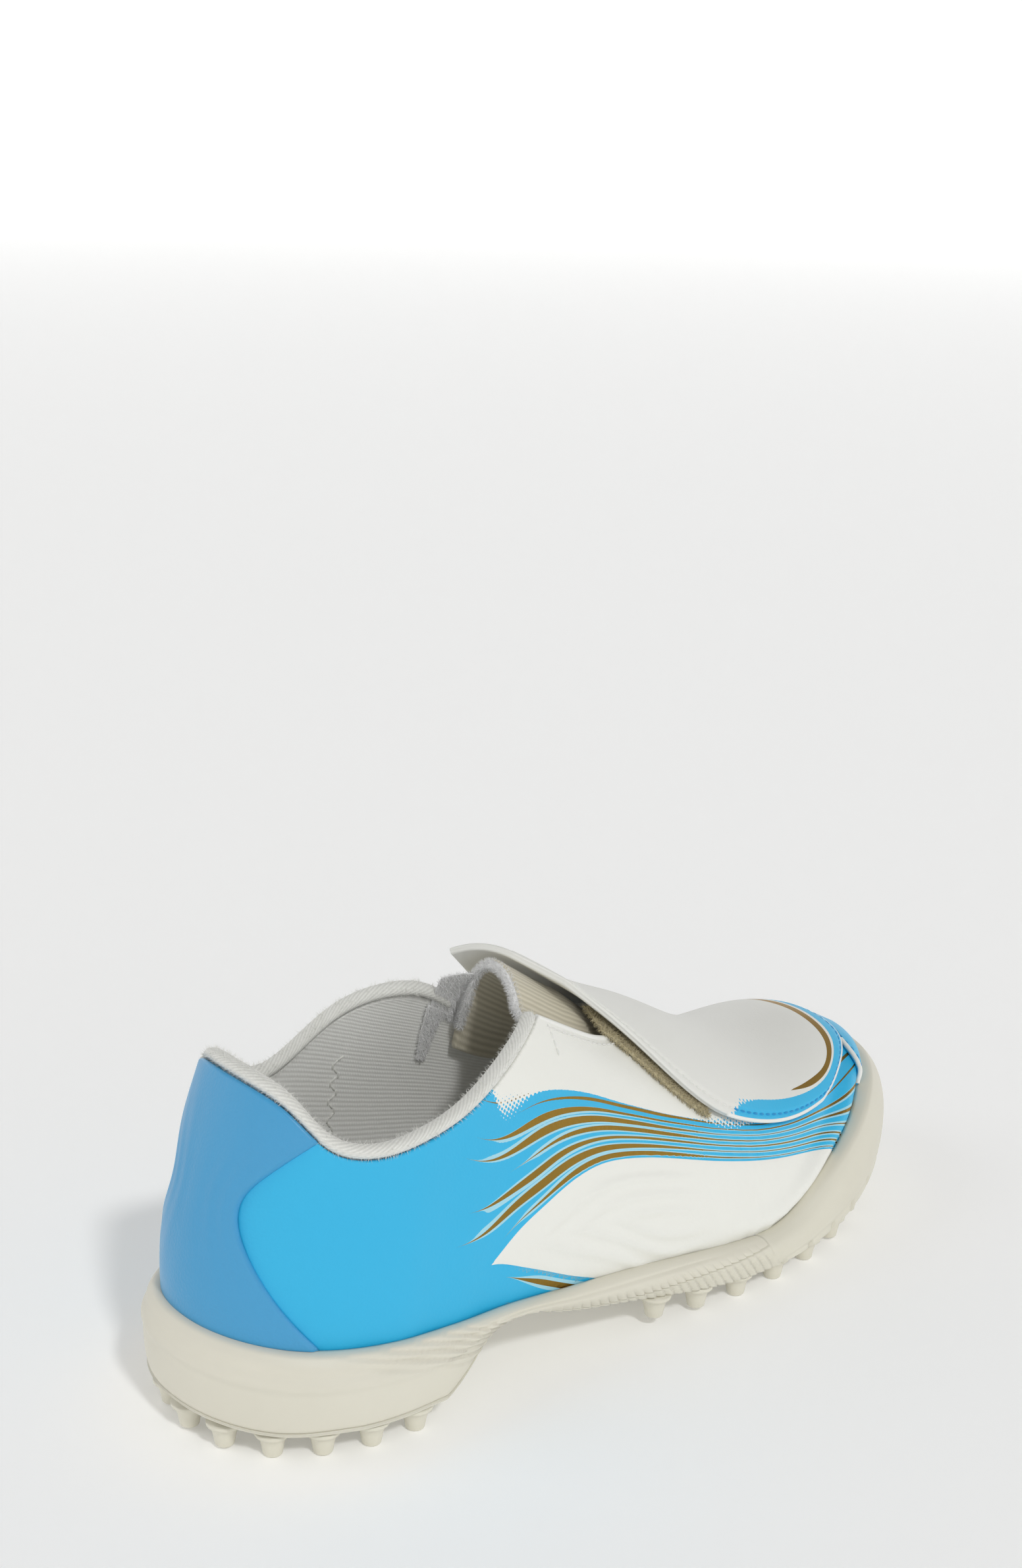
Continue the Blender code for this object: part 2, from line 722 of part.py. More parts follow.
def tongue():
    """Knit tongue: passes under both edges of the throat and swells up between them."""
    stations = spaced(CORNER_STATION + CORNER_CLEAR, THROAT_END + TONGUE_AHEAD, 11, False, False)
    places, rises = [], []
    for station in stations:
        row, rise = [], []
        ahead = smooth((THROAT_END - TONGUE_AHEAD - station) / TONGUE_FADE)
        for b in np.linspace(-1, 1, 13):
            side = OUTER if b < 0 else INNER
            open_share = 1 - edge_share(station, side)
            reach = open_share + TONGUE_TUCK
            row.append((station, side, 1 - abs(b) * reach))
            swell = 1 - (abs(b) * reach / max(open_share * TONGUE_FREE, 0.01)) ** 2
            rise.append(ahead * max(0.0, swell) * (UPPER_WALL + TONGUE_GAP + TONGUE_SWELL))
        places.append(row)
        rises.append(rise)
    under = -UPPER_WALL - TONGUE_GAP - TONGUE_THICKNESS
    last_sheet(
        "tongue",
        places,
        lambda i, j: under + rises[i][j],
        TONGUE_THICKNESS,
        (0.71, 0.67, 0.57),
        0.95,
    )


def flap_place(along, across):
    """A point of the cover flap: along from its free rear edge to its front seam, across from
    the outer edge (-1) to the inner edge (1)."""
    side = OUTER if across < 0 else INNER
    rear = FLAP_REAR - FLAP_SKEW * across
    front = FLAP_FRONT - FLAP_FRONT_ROUND * abs(across) ** 4.5
    edge = FLAP["outer" if side < 0 else "inner"](along)
    return rear + (front - rear) * along, side, 1 - abs(across) * (1 - edge)


def flap_lift(along, across):
    """Height of the flap's underside over the last: most at its free edges, least at its seam."""
    return FLAP["lift"](along) * FLAP_LIFT * (0.45 + 0.55 * across**2) + 2 * GAP


def flap():
    """Cover flap: sewn down round the toe, free at the rear, closed on the outer side."""
    along = np.linspace(0, 1, 14)
    across = np.linspace(-1, 1, 13)
    places = [[flap_place(a, b) for b in across] for a in along]
    last_sheet(
        "flap",
        places,
        lambda i, j: flap_lift(along[i], across[j]),
        FLAP_THICKNESS,
        (0.84, 0.84, 0.81),
        0.45,
    )


def fastener_pad():
    """Loop pad of the touch fastener, on the outer quarter under the flap's edge."""
    places = []
    for along in np.linspace(*PAD_SPAN, 7):
        station, side, edge = flap_place(along, -1)
        places.append([(station, side, edge + PAD_REACH * k) for k in np.linspace(-0.3, 1, 5)])
    last_sheet(
        "fastener_pad",
        places,
        lambda i, j: SHEET_GAP,
        PAD_THICKNESS,
        (0.66, 0.61, 0.48),
        0.95,
    )


def heel_counter():
    """Counter overlay round the heel, whose front edges point back like the tip of a wedge."""
    heights = np.linspace(0, 1, 8)
    across = np.linspace(-1, 1, 15)
    places = []
    for height in heights:
        row = []
        for b in across:
            side = OUTER if b < 0 else INNER
            station = abs(b) ** 1.6 * COUNTER["reach"](height)
            low = share_at_height(station, side, wall_top(station) + GAP)
            high = edge_share(station, side)
            row.append((station, side, low + (high - low) * height))
        places.append(row)
    last_sheet(
        "heel_counter",
        places,
        lambda i, j: SHEET_GAP,
        COUNTER_THICKNESS,
        (0.29, 0.60, 0.80),
        0.35,
    )


def toe_tip_station():
    """Station where the toe's ridge comes down to the top of the sole's wall."""
    low, high = 0.95, 1.0
    for _ in range(30):
        middle = (low + high) / 2
        if last_curve(middle, OUTER, 1.0)[2] > wall_top(middle) + 2 * GAP:
            low = middle
        else:
            high = middle
    return low


def toe_cap():
    """Toe cap overlay, in front of the flap's seam and down to the sole's wall."""
    tip = toe_tip_station()
    places = []
    for height in np.linspace(0, 1, 7):
        row = []
        for b in np.linspace(-1, 1, 13):
            side = OUTER if b < 0 else INNER
            foot = tip - abs(b) ** 1.6 * (tip - TOE_CAP_FOOT[side])
            top, _, top_share = flap_place(1.0, b * TOE_CAP_TOP[side])
            top += TOE_CAP_CLEAR
            top_share -= TOE_CAP_CLEAR
            low = share_at_height(foot, side, wall_top(foot) + GAP)
            station = foot + (top - foot) * height
            row.append((station, side, low + (top_share - low) * height))
        places.append(row)
    last_sheet(
        "toe_cap",
        places,
        lambda i, j: SHEET_GAP,
        TOE_CAP_THICKNESS,
        (0.22, 0.70, 0.92),
        0.35,
    )


def build():
    clear_scene()
    for name in ("soccer_turf_shoe", "cutters"):
        collection = bpy.data.collections.get(name) or bpy.data.collections.new(name)
        if name not in bpy.context.scene.collection.children:
            bpy.context.scene.collection.children.link(collection)
    last = last_cutter()
    outsole(last)
    midsole(last)
    insole()
    upper()
    collar_band()
    tongue()
    flap()
    fastener_pad()
    heel_counter()
    toe_cap()


build()
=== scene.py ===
import math

import bmesh
import bpy
import numpy as np
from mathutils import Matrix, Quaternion, Vector


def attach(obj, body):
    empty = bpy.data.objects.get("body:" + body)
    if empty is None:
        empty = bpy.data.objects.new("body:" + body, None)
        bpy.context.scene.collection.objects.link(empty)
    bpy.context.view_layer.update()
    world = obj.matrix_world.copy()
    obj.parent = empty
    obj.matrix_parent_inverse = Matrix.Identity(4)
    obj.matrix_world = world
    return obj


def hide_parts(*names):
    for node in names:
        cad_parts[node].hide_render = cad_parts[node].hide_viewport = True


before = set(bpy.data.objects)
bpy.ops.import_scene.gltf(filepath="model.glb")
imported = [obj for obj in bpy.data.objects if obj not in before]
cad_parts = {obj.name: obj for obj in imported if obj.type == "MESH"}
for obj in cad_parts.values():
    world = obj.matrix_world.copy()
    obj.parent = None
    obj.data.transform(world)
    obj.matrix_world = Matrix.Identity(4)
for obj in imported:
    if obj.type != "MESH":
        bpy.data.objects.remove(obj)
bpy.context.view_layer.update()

# Studio
# A junior turf football shoe for the right foot, on a pale floor. The camera stands behind the heel
# on the outer side, a little above the shoe, and is rolled by a degree and a half. Its place was
# found by fitting the outlines of the sole and the collar.
MM = 0.001
CAMERA_PLACE = Vector((-303.0, -331.0, 257.0)) * MM
CAMERA_AZIMUTH = -41.03
CAMERA_ELEVATION = 17.73
CAMERA_ROLL = 1.48
FOCAL_PIXELS = 3456.4
IMAGE_HEIGHT = 2380
SENSOR = 36.0


def direction(azimuth, elevation):
    """Unit vector from the shoe to a viewer. Azimuth 0 is on the -Y side."""
    a, e = math.radians(azimuth), math.radians(elevation)
    return Vector((math.sin(a) * math.cos(e), -math.cos(a) * math.cos(e), math.sin(e)))


def linear(hex_colour):
    """Turns an sRGB hex colour to linear red, green, blue and alpha."""
    parts = [int(hex_colour[i : i + 2], 16) / 255 for i in (1, 3, 5)]
    return (*(c / 12.92 if c <= 0.04045 else ((c + 0.055) / 1.055) ** 2.4 for c in parts), 1.0)


def node(tree, kind, links=None, **settings):
    """Adds a node, sets its properties, and gives its inputs values or links."""
    made = tree.nodes.new(kind)
    for name, value in settings.items():
        setattr(made, name, value)
    for socket, value in (links or {}).items():
        if isinstance(value, bpy.types.Node):
            value = value.outputs[0]
        if isinstance(value, bpy.types.NodeSocket):
            tree.links.new(value, made.inputs[socket])
        else:
            made.inputs[socket].default_value = value
    return made


def start_material(name, colour, roughness):
    """A material with its plain colour and roughness set. Returns it, its tree and its shader."""
    made = bpy.data.materials.new(name)
    made.use_nodes = True
    shader = made.node_tree.nodes["Principled BSDF"]
    shader.inputs["Base Color"].default_value = linear(colour)
    shader.inputs["Roughness"].default_value = roughness
    return made, made.node_tree, shader


camera_data = bpy.data.cameras.new("camera")
camera_data.sensor_fit = "AUTO"
camera_data.sensor_width = SENSOR
camera_data.lens = FOCAL_PIXELS * SENSOR / IMAGE_HEIGHT
camera_data.clip_start = 0.01
camera = bpy.data.objects.new("camera", camera_data)
bpy.context.scene.collection.objects.link(camera)
back = direction(CAMERA_AZIMUTH, CAMERA_ELEVATION)
aim = back.to_track_quat("Z", "Y") @ Quaternion((0, 0, 1), math.radians(CAMERA_ROLL))
camera.location = CAMERA_PLACE
camera.rotation_euler = aim.to_euler()
bpy.context.scene.camera = camera

floor_mesh = bpy.data.meshes.new("floor")
FLOOR_HALF = 4.0
corners = [(x * FLOOR_HALF, y * FLOOR_HALF, 0) for x, y in ((-1, -1), (1, -1), (1, 1), (-1, 1))]
floor_mesh.from_pydata(corners, [], [(0, 1, 2, 3)])
floor = bpy.data.objects.new("floor", floor_mesh)
bpy.context.scene.collection.objects.link(floor)
paper, _, paper_shader = start_material("matt_paper", "#FDFDFC", 0.9)
paper_shader.inputs["Emission Color"].default_value = linear("#FFFFFF")
paper_shader.inputs["Emission Strength"].default_value = 0.13
floor_mesh.materials.append(paper)

WALL_RADIUS, WALL_HEIGHT, WALL_SIDES = 3.9, 1.6, 64
wall_mesh = bpy.data.meshes.new("backdrop")
wall_points = []
for k in range(WALL_SIDES):
    turn = 2 * math.pi * k / WALL_SIDES
    spot = (WALL_RADIUS * math.cos(turn), WALL_RADIUS * math.sin(turn))
    wall_points += [(*spot, 0.0), (*spot, WALL_HEIGHT)]
wall_faces = []
for k in range(WALL_SIDES):
    here, ahead = 2 * k, 2 * ((k + 1) % WALL_SIDES)
    wall_faces.append((here, here + 1, ahead + 1, ahead))
wall_mesh.from_pydata(wall_points, [], wall_faces)
backdrop = bpy.data.objects.new("backdrop", wall_mesh)
bpy.context.scene.collection.objects.link(backdrop)
lit_paper, _, lit_shader = start_material("lit_paper", "#FFFFFF", 1.0)
lit_shader.inputs["Emission Color"].default_value = linear("#FFFFFF")
lit_shader.inputs["Emission Strength"].default_value = 0.35
wall_mesh.materials.append(lit_paper)

world = bpy.data.worlds.new("soft_room")
world.use_nodes = True
world.node_tree.nodes["Background"].inputs["Color"].default_value = linear("#FFFFFF")
world.node_tree.nodes["Background"].inputs["Strength"].default_value = 0.32
bpy.context.scene.world = world
bpy.context.scene.view_settings.view_transform = "Standard"
# Two suns: the key from high on the outer side, and a faint rim light from behind the heel.
for label, azimuth, elevation, softness, strength in (
    ("key", -14, 45, 6, 0.98),
    ("rim", -125, 38, 30, 0.25),
):
    lamp = bpy.data.lights.new(label, "SUN")
    lamp.angle = math.radians(softness)
    lamp.energy = strength
    lamp_object = bpy.data.objects.new(label, lamp)
    lamp_object.rotation_euler = direction(azimuth, elevation).to_track_quat("Z", "Y").to_euler()
    bpy.context.scene.collection.objects.link(lamp_object)

# Outsole
# Cream rubber, press-moulded in one: a plate with a rolled lower rim, a bumper that
# wraps the toe, and short conical nubs in rows that follow the outline.
SOLE_LENGTH = 200 * MM
BALL_WIDTH = 74 * MM
STUD_HEIGHT = 4.6 * MM
PLATE_THICKNESS = 2.3 * MM
FOOTBED_HEEL = 16.5 * MM
WALL_TOP_HEEL = 25.4 * MM
GAP = 0.3 * MM
HEEL_SIDE_SHARE, HEEL_POWER = 0.19, 2.15
TOE_SHARES, TOE_POWER = (0.34, 0.18), 2.15
TOE_LEAN = 0.08
MIDSOLE_END = 0.66
OUTER, INNER = -1, 1


def curve_through(stations, values):
    """A natural cubic curve through the points, as a function of an array of stations."""
    xs, ys = np.asarray(stations, float), np.asarray(values, float)
    count, steps = len(xs), np.diff(xs)
    matrix, right = np.eye(count), np.zeros(count)
    for i in range(1, count - 1):
        matrix[i, i - 1 : i + 2] = steps[i - 1], 2 * (steps[i - 1] + steps[i]), steps[i]
        right[i] = 6 * ((ys[i + 1] - ys[i]) / steps[i] - (ys[i] - ys[i - 1]) / steps[i - 1])
    bends = np.linalg.solve(matrix, right)

    def value(x):
        x = np.clip(x, xs[0], xs[-1])
        i = np.clip(np.searchsorted(xs, x) - 1, 0, count - 2)
        step, left, ahead = steps[i], x - xs[i], xs[i + 1] - x
        return (
            (bends[i] * ahead**3 + bends[i + 1] * left**3) / (6 * step)
            + (ys[i] / step - bends[i] * step / 6) * ahead
            + (ys[i + 1] / step - bends[i + 1] * step / 6) * left
        )

    return value


def table(names, rows):
    """One smooth curve for each named column after the first, along the first column."""
    columns = list(zip(*rows))
    return {name: curve_through(columns[0], columns[i]) for i, name in enumerate(names.split()) if i}


# Half widths and swing of the outline, shares of the ball width, by station from heel to toe.
PLAN = table(
    "station outer inner swing",
    [
        (0.00, 0.425, 0.425, 0.00),
        (0.16, 0.440, 0.430, 0.00),
        (0.32, 0.438, 0.380, 0.00),
        (0.44, 0.448, 0.340, 0.00),
        (0.56, 0.474, 0.392, 0.00),
        (0.68, 0.498, 0.480, 0.01),
        (0.80, 0.508, 0.482, 0.03),
        (0.90, 0.508, 0.467, 0.05),
        (1.00, 0.500, 0.450, 0.07),
    ],
)
# Side view: rise and footbed in shares of the footbed's heel height, the outsole's edge in plate
# thicknesses, the wall's top as a share of its heel height, and the waist's tuck.
SIDE = table(
    "station rise edge bed top tuck",
    [
        (0.00, 0.10, 1.00, 1.00, 1.00, 0.00),
        (0.05, 0.01, 1.00, 1.00, 0.92, 0.00),
        (0.12, 0.00, 1.00, 1.00, 0.86, 0.00),
        (0.22, 0.00, 1.00, 0.99, 0.79, 0.00),
        (0.255, 0.22, 1.00, 0.98, 0.77, 0.04),
        (0.29, 0.46, 1.00, 0.96, 0.76, 0.09),
        (0.38, 0.36, 1.00, 0.92, 0.69, 0.08),
        (0.47, 0.21, 1.10, 0.83, 0.64, 0.04),
        (0.56, 0.08, 2.20, 0.74, 0.58, 0.01),
        (0.64, 0.00, 2.90, 0.68, 0.520, 0.00),
        (0.70, 0.00, 3.60, 0.67, 0.535, 0.00),
        (0.77, 0.01, 5.00, 0.70, 0.74, 0.00),
        (0.88, 0.14, 6.50, 0.83, 1.02, 0.00),
        (0.94, 0.32, 8.00, 0.98, 1.17, 0.00),
        (1.00, 0.62, 9.00, 1.18, 1.25, 0.00),
    ],
)
# Profile of the sole's side, from the underside to the wall's top edge.
SIDE_PROFILE = table(
    "height inset",
    [
        (0.00, 0.052),
        (0.08, 0.022),
        (0.20, 0.006),
        (0.40, 0.000),
        (0.65, 0.000),
        (0.82, 0.008),
        (0.93, 0.020),
        (1.00, 0.032),
    ],
)


def round_end(share, power):
    """Half width of a rounded end, from 0 at its tip to 1 at its full width."""
    return (1 - (1 - np.clip(share, 0, 1)) ** power) ** (1 / power)


def ends(station, side):
    toe_share = np.where(side < 0, *TOE_SHARES)
    return round_end(station / HEEL_SIDE_SHARE, HEEL_POWER) * round_end((1 - station) / toe_share, TOE_POWER)


def plan_point(station, side, margin):
    """The outline moved in by a margin: x, middle line and half width."""
    x = margin + station * (SOLE_LENGTH - 2 * margin)
    half = np.where(side < 0, PLAN["outer"](station), PLAN["inner"](station)) * BALL_WIDTH - margin
    return x, PLAN["swing"](station) * BALL_WIDTH, half * ends(station, side)


def underside(station):
    return STUD_HEIGHT + np.maximum(0, SIDE["rise"](station)) * FOOTBED_HEEL


def footbed(station):
    return SIDE["bed"](station) * FOOTBED_HEEL


def wall_top(station):
    return SIDE["top"](station) * WALL_TOP_HEEL


def split_share(station):
    """Height share of the parting line between outsole and midsole."""
    edge = SIDE["edge"](station) * PLATE_THICKNESS / (wall_top(station) - underside(station))
    return np.where(station > MIDSOLE_END, 1.0, np.minimum(1.0, edge))


def smooth(share):
    share = np.clip(share, 0, 1)
    return share * share * (3 - 2 * share)


def sole_side(station, side, share, relief=0.0):
    """A point of the sole's wall at a share of its height, moved in by the relief."""
    low, high = underside(station), wall_top(station)
    inset = SIDE_PROFILE["inset"](share) * BALL_WIDTH + relief
    inset = inset + np.maximum(0, SIDE["tuck"](station)) * BALL_WIDTH * (1 - share) ** 1.3
    lean = np.maximum(0, (station - 0.80) / 0.20) ** 1.5
    inset = inset + lean * TOE_LEAN * BALL_WIDTH * np.maximum(0, share - 0.5) ** 2
    x, middle, half = plan_point(station, side, inset)
    z = low + share * (high - low)
    return np.stack(np.broadcast_arrays(x, middle + side * half, z), -1)


outline_stations = np.linspace(0.05, 0.95, 181)
edges = {}
for side in (OUTER, INNER):
    _, outline_middle, outline_half = plan_point(outline_stations, side, 0.0)
    edges[side] = outline_middle + side * outline_half
PLAN_MIDDLE = (edges[OUTER].min() + edges[INNER].max()) / 2
TO_FRAME = np.array((-SOLE_LENGTH / 2, -PLAN_MIDDLE, 0.0))

# The last that upper and sole share: ridge height in shares of the instep, swing and swells in
# shares of the ball width, and the two handles of its section.
INSTEP_HEIGHT = 86 * MM
COLLAR_HEIGHT = 76 * MM
UPPER_MARGIN = 5 * MM
NOSE_SHARE, NOSE_POWER = 0.13, 2.4
HEEL_CURVE_SHARE = 0.36
LAST = table(
    "station ridge swing swell_outer swell_inner side crown",
    [
        (0.00, 1.14, 0.00, 0.025, 0.025, 0.60, 0.70),
        (0.16, 1.18, 0.00, 0.030, 0.025, 0.62, 0.62),
        (0.30, 1.05, 0.01, 0.020, 0.030, 0.60, 0.54),
        (0.40, 0.925, 0.02, 0.015, 0.045, 0.60, 0.52),
        (0.50, 0.780, 0.03, 0.015, 0.050, 0.60, 0.51),
        (0.60, 0.675, 0.035, 0.020, 0.040, 0.60, 0.48),
        (0.70, 0.556, 0.03, 0.030, 0.030, 0.62, 0.52),
        (0.80, 0.486, 0.02, 0.035, 0.030, 0.64, 0.56),
        (0.90, 0.470, 0.01, 0.030, 0.030, 0.64, 0.58),
        (1.00, 0.465, 0.00, 0.025, 0.025, 0.64, 0.58),
    ],
)
HEEL_CURVE = table(
    "height shift",
    [(0.2, 0.005), (0.4, 0.000), (0.55, 0.007), (0.75, 0.027), (0.9, 0.047), (1.5, 0.14)],
)


def heel_shift(station, z):
    """How far the lean of the heel's back moves a point forward."""
    fade = np.maximum(0, 1 - station / HEEL_CURVE_SHARE) ** 2
    return HEEL_CURVE["shift"](z / COLLAR_HEIGHT) * SOLE_LENGTH * fade


def last_curve(station, side, share):
    """A point of the last: station along it, side, and share of the way from edge to ridge."""
    x, middle, half = plan_point(station, side, UPPER_MARGIN)
    low = footbed(station)
    nose = round_end((1 - station) / NOSE_SHARE, NOSE_POWER)
    high = low + (LAST["ridge"](station) * INSTEP_HEIGHT - low) * nose
    swell = np.where(side < 0, LAST["swell_outer"](station), LAST["swell_inner"](station))
    swell = swell * BALL_WIDTH * ends(station, side)
    closing = np.minimum(ends(station, OUTER), ends(station, INNER))
    ridge = middle + LAST["swing"](station) * BALL_WIDTH * closing
    corners = (
        (middle + side * half, low),
        (middle + side * (half + swell), low + LAST["side"](station) * (high - low)),
        (ridge + side * LAST["crown"](station) * half, high),
        (ridge, high),
    )
    left = 1 - share
    weights = (left**3, 3 * left**2 * share, 3 * left * share**2, share**3)
    y = sum(w * c[0] for w, c in zip(weights, corners))
    z = sum(w * c[1] for w, c in zip(weights, corners))
    return np.stack(np.broadcast_arrays(x + heel_shift(station, z), y, z), -1)


def last_normal(station, side, share):
    """The last's outward direction."""
    angle = np.arccos(1 - 2 * np.clip(station, 0.0004, 0.9996))
    step = 0.004
    share = np.clip(share, step, 1 - step)

    def at(a, t):
        return last_curve((1 - np.cos(a)) / 2, side, t)

    along = at(angle + step, share) - at(angle - step, share)
    around = at(angle, share + step) - at(angle, share - step)
    normal = np.cross(around, along) * np.asarray(side)[..., None]
    return normal / np.linalg.norm(normal, axis=-1, keepdims=True)


def on_last(station, side, share, offset):
    """A point of the last, moved out by the offset. All four may be arrays."""
    station, side, share, offset = np.broadcast_arrays(station, side, share, offset)
    normal = last_normal(station, side, share)
    seam = (station < 0.0005) | (station > 0.9995) | (share > 0.999)
    both = normal + last_normal(station, -side, share)
    normal = np.where(seam[..., None], both, normal)
    normal = normal / np.linalg.norm(normal, axis=-1, keepdims=True)
    return last_curve(station, side, share) + offset[..., None] * normal


def share_at(station, side, wanted, measure):
    """The share where a measure that grows along the section reaches the wanted value."""
    station, side, wanted = np.broadcast_arrays(station, side, wanted)
    low, high = np.zeros(station.shape), np.ones(station.shape)
    for _ in range(30):
        middle = (low + high) / 2
        below = measure(last_curve(station, side, middle)) < wanted
        low, high = np.where(below, middle, low), np.where(below, high, middle)
    return low


def share_at_height(station, side, height):
    return share_at(station, side, height, lambda p: p[..., 2])


def grid_faces(rows, columns, start=0, closed=False):
    """Quads of a grid of vertices counted row by row."""
    index = start + np.arange(rows * columns).reshape(rows, columns)
    ahead = np.roll(index, -1, 1) if closed else index[:, 1:]
    here = index if closed else index[:, :-1]
    return np.stack((here[:-1], ahead[:-1], ahead[1:], here[1:]), -1).reshape(-1, 4).tolist()


def make_piece(name, grids, faces, materials, attributes=None, weld=0.02 * MM):
    """A mesh from grids of points in the last's frame. Attributes are arrays, one value a point."""
    points = np.concatenate([np.reshape(g, (-1, 3)) for g in grids]) + TO_FRAME
    mesh = bpy.data.meshes.new(name)
    mesh.from_pydata(points.tolist(), [], faces)
    for label, values in (attributes or {}).items():
        layer = mesh.attributes.new(label, "FLOAT", "POINT")
        layer.data.foreach_set("value", np.concatenate([np.ravel(v) for v in values]).astype(np.float32))
    bm = bmesh.new()
    bm.from_mesh(mesh)
    bmesh.ops.remove_doubles(bm, verts=bm.verts, dist=weld)
    bmesh.ops.dissolve_degenerate(bm, edges=bm.edges, dist=weld / 10)
    bmesh.ops.recalc_face_normals(bm, faces=bm.faces)
    if bm.calc_volume(signed=True) < 0:
        bmesh.ops.reverse_faces(bm, faces=bm.faces)
    bm.to_mesh(mesh)
    bm.free()
    mesh.shade_smooth()
    for material in materials:
        mesh.materials.append(material)
    piece = bpy.data.objects.new(name, mesh)
    bpy.context.scene.collection.objects.link(piece)
    return piece


def settle(piece, slot, *replaced):
    """The piece rides on the shoe's one body, and the solids it stands for are hidden. The slot, its finish,
    is not used.
    """
    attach(piece, "root")
    if replaced:
        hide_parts(*replaced)


RUBBER_SPECK = 0.35 * MM  # mould texture on the rubber


def moulded(name, colour, shade, roughness):
    """Moulded rubber or foam: one colour that clouds a little, and a fine matt mould texture."""
    made, tree, shader = start_material(name, colour, roughness)
    place = node(tree, "ShaderNodeTexCoord").outputs["Object"]
    cloud = node(tree, "ShaderNodeTexNoise", {"Vector": place, "Scale": 45.0, "Detail": 3.0})
    tint = node(
        tree,
        "ShaderNodeMix",
        {0: cloud.outputs["Fac"], 6: linear(colour), 7: linear(shade)},
        data_type="RGBA",
    )
    tree.links.new(tint.outputs[2], shader.inputs["Base Color"])
    speck = node(tree, "ShaderNodeTexNoise", {"Vector": place, "Scale": 1 / RUBBER_SPECK, "Detail": 2.0})
    bump = node(
        tree,
        "ShaderNodeBump",
        {"Height": speck.outputs["Fac"], "Strength": 0.12, "Distance": 0.1 * MM},
    )
    tree.links.new(bump.outputs[0], shader.inputs["Normal"])
    return made


rubber = moulded("cream_rubber", "#E4E1D2", "#DAD6C5", 0.42)
foam = moulded("cream_foam", "#E3DFD0", "#DCD8C8", 0.48)


def tray(name, stations, shares, relief, material, top_floor):
    """A moulded tray between the sole's walls. shares gives the wall's height shares at each
    station, relief their depth, and top_floor the height of the tray's inner floor."""
    grids, faces, start = [], [], 0
    station = stations[:, None]
    for side in (OUTER, INNER):
        wall_shares = shares(station)
        wall = sole_side(station, side, wall_shares, relief(station, side, wall_shares))
        edge, rim = wall[:, :1], wall[:, -1:]
        middle = PLAN["swing"](station) * BALL_WIDTH
        under = np.repeat(edge, 6, 1)
        across = np.linspace(0, 1, 7)[:-1]
        under[..., 1] = middle + (edge[..., 1] - middle) * across
        rim_height = rim[..., 2]
        floor_height = np.minimum(rim_height, top_floor(station))
        drop = np.linspace(0, 1, 8)
        heights = rim_height + (floor_height - rim_height) * drop
        inner = on_last(station, side, share_at_height(station, side, heights), GAP)
        inner[..., 2] = heights
        lip_share = np.array((0.25, 0.5, 0.75))
        lip = rim + (inner[:, :1] - rim) * lip_share[:, None]
        lip[..., 2] += 0.25 * MM * np.sin(math.pi * lip_share)
        floor_row = np.repeat(inner[:, -1:], 5, 1)
        floor_row[..., 1] = middle + (inner[:, -1:, 1] - middle) * np.linspace(0.8, 0, 5)
        rows = np.concatenate((under, wall, lip, inner, floor_row), 1)
        grids.append(rows)
        faces += grid_faces(*rows.shape[:2], start)
        start += rows.shape[0] * rows.shape[1]
    return make_piece(name, grids, faces, [material], weld=0.03 * MM)


def close_ends(start, stop, count):
    """Stations that lie closer together at rounded ends."""
    shares = (1 - np.cos(np.linspace(0, math.pi, count))) / 2
    shares = 0.5 * shares + 0.5 * np.linspace(0, 1, count)
    return start + shares * (stop - start)


RIM_NOTCH_PITCH = 9.2 * MM
RIB_PITCH = 2.3 * MM
RIB_DEPTH = 1.25  # millimetres
# How far the ribs reach up the wall, in millimetres, with what the heel's end and the ball's add.
RIB_REACH, RIB_REACH_HEEL, RIB_REACH_BALL = 6.5, 6.0, 2.5
RIB_FAN, RIB_FAN_HEEL = 0.75, 2.6  # how far a rib leans for each millimetre up
arch_x = np.linspace(0.2, 0.8, 400) * SOLE_LENGTH
arch_z = underside(arch_x / SOLE_LENGTH)
arch_travel = np.concatenate(([0], np.cumsum(np.hypot(np.diff(arch_x), np.diff(arch_z)))))


def waist_ribs(station, side, share):
    """Pressed creases that fan out from the waist's lower edge: 1 at a crease, and a soft ramp."""
    point = sole_side(station, side, share)
    x, z = point[..., 0], point[..., 2]
    foot = x.copy()
    for _ in range(12):
        fan = RIB_FAN + RIB_FAN_HEEL * smooth((0.40 - foot / SOLE_LENGTH) / 0.12)
        rise = z - underside(foot / SOLE_LENGTH)
        foot = 0.6 * foot + 0.4 * (x + fan * np.maximum(rise, 0))
    part = (np.interp(foot, arch_x, arch_travel) / RIB_PITCH) % 1
    crease = np.exp(-3.0 * part) * smooth(part / 0.20)
    behind = smooth((0.36 - foot / SOLE_LENGTH) / 0.08)
    reach = RIB_REACH + RIB_REACH_HEEL * behind + RIB_REACH_BALL * smooth((foot / SOLE_LENGTH - 0.50) / 0.08)
    fade = smooth((reach * MM - rise) / (0.5 * reach * MM))
    zone = smooth((foot / SOLE_LENGTH - 0.265) / 0.02) * smooth((0.70 - foot / SOLE_LENGTH) / 0.05)
    return crease * fade * zone


def outsole_relief(station, side, share):
    """Rolled lower rim with notches between the forefoot's nubs, and the waist's creases."""
    x = station * SOLE_LENGTH
    forefoot = smooth((station - 0.66) / 0.05) * smooth((0.985 - station) / 0.03)
    rim = np.exp(-(((share - 0.30) / 0.05) ** 2))
    notch = np.clip(np.cos(2 * math.pi * (x + 1.5 * MM) / RIM_NOTCH_PITCH) * 6 - 5, 0, 1)
    low = smooth((0.30 - share) / 0.10)
    return (forefoot * (0.35 * rim + 1.6 * notch * low) + RIB_DEPTH * waist_ribs(station, side, share)) * MM


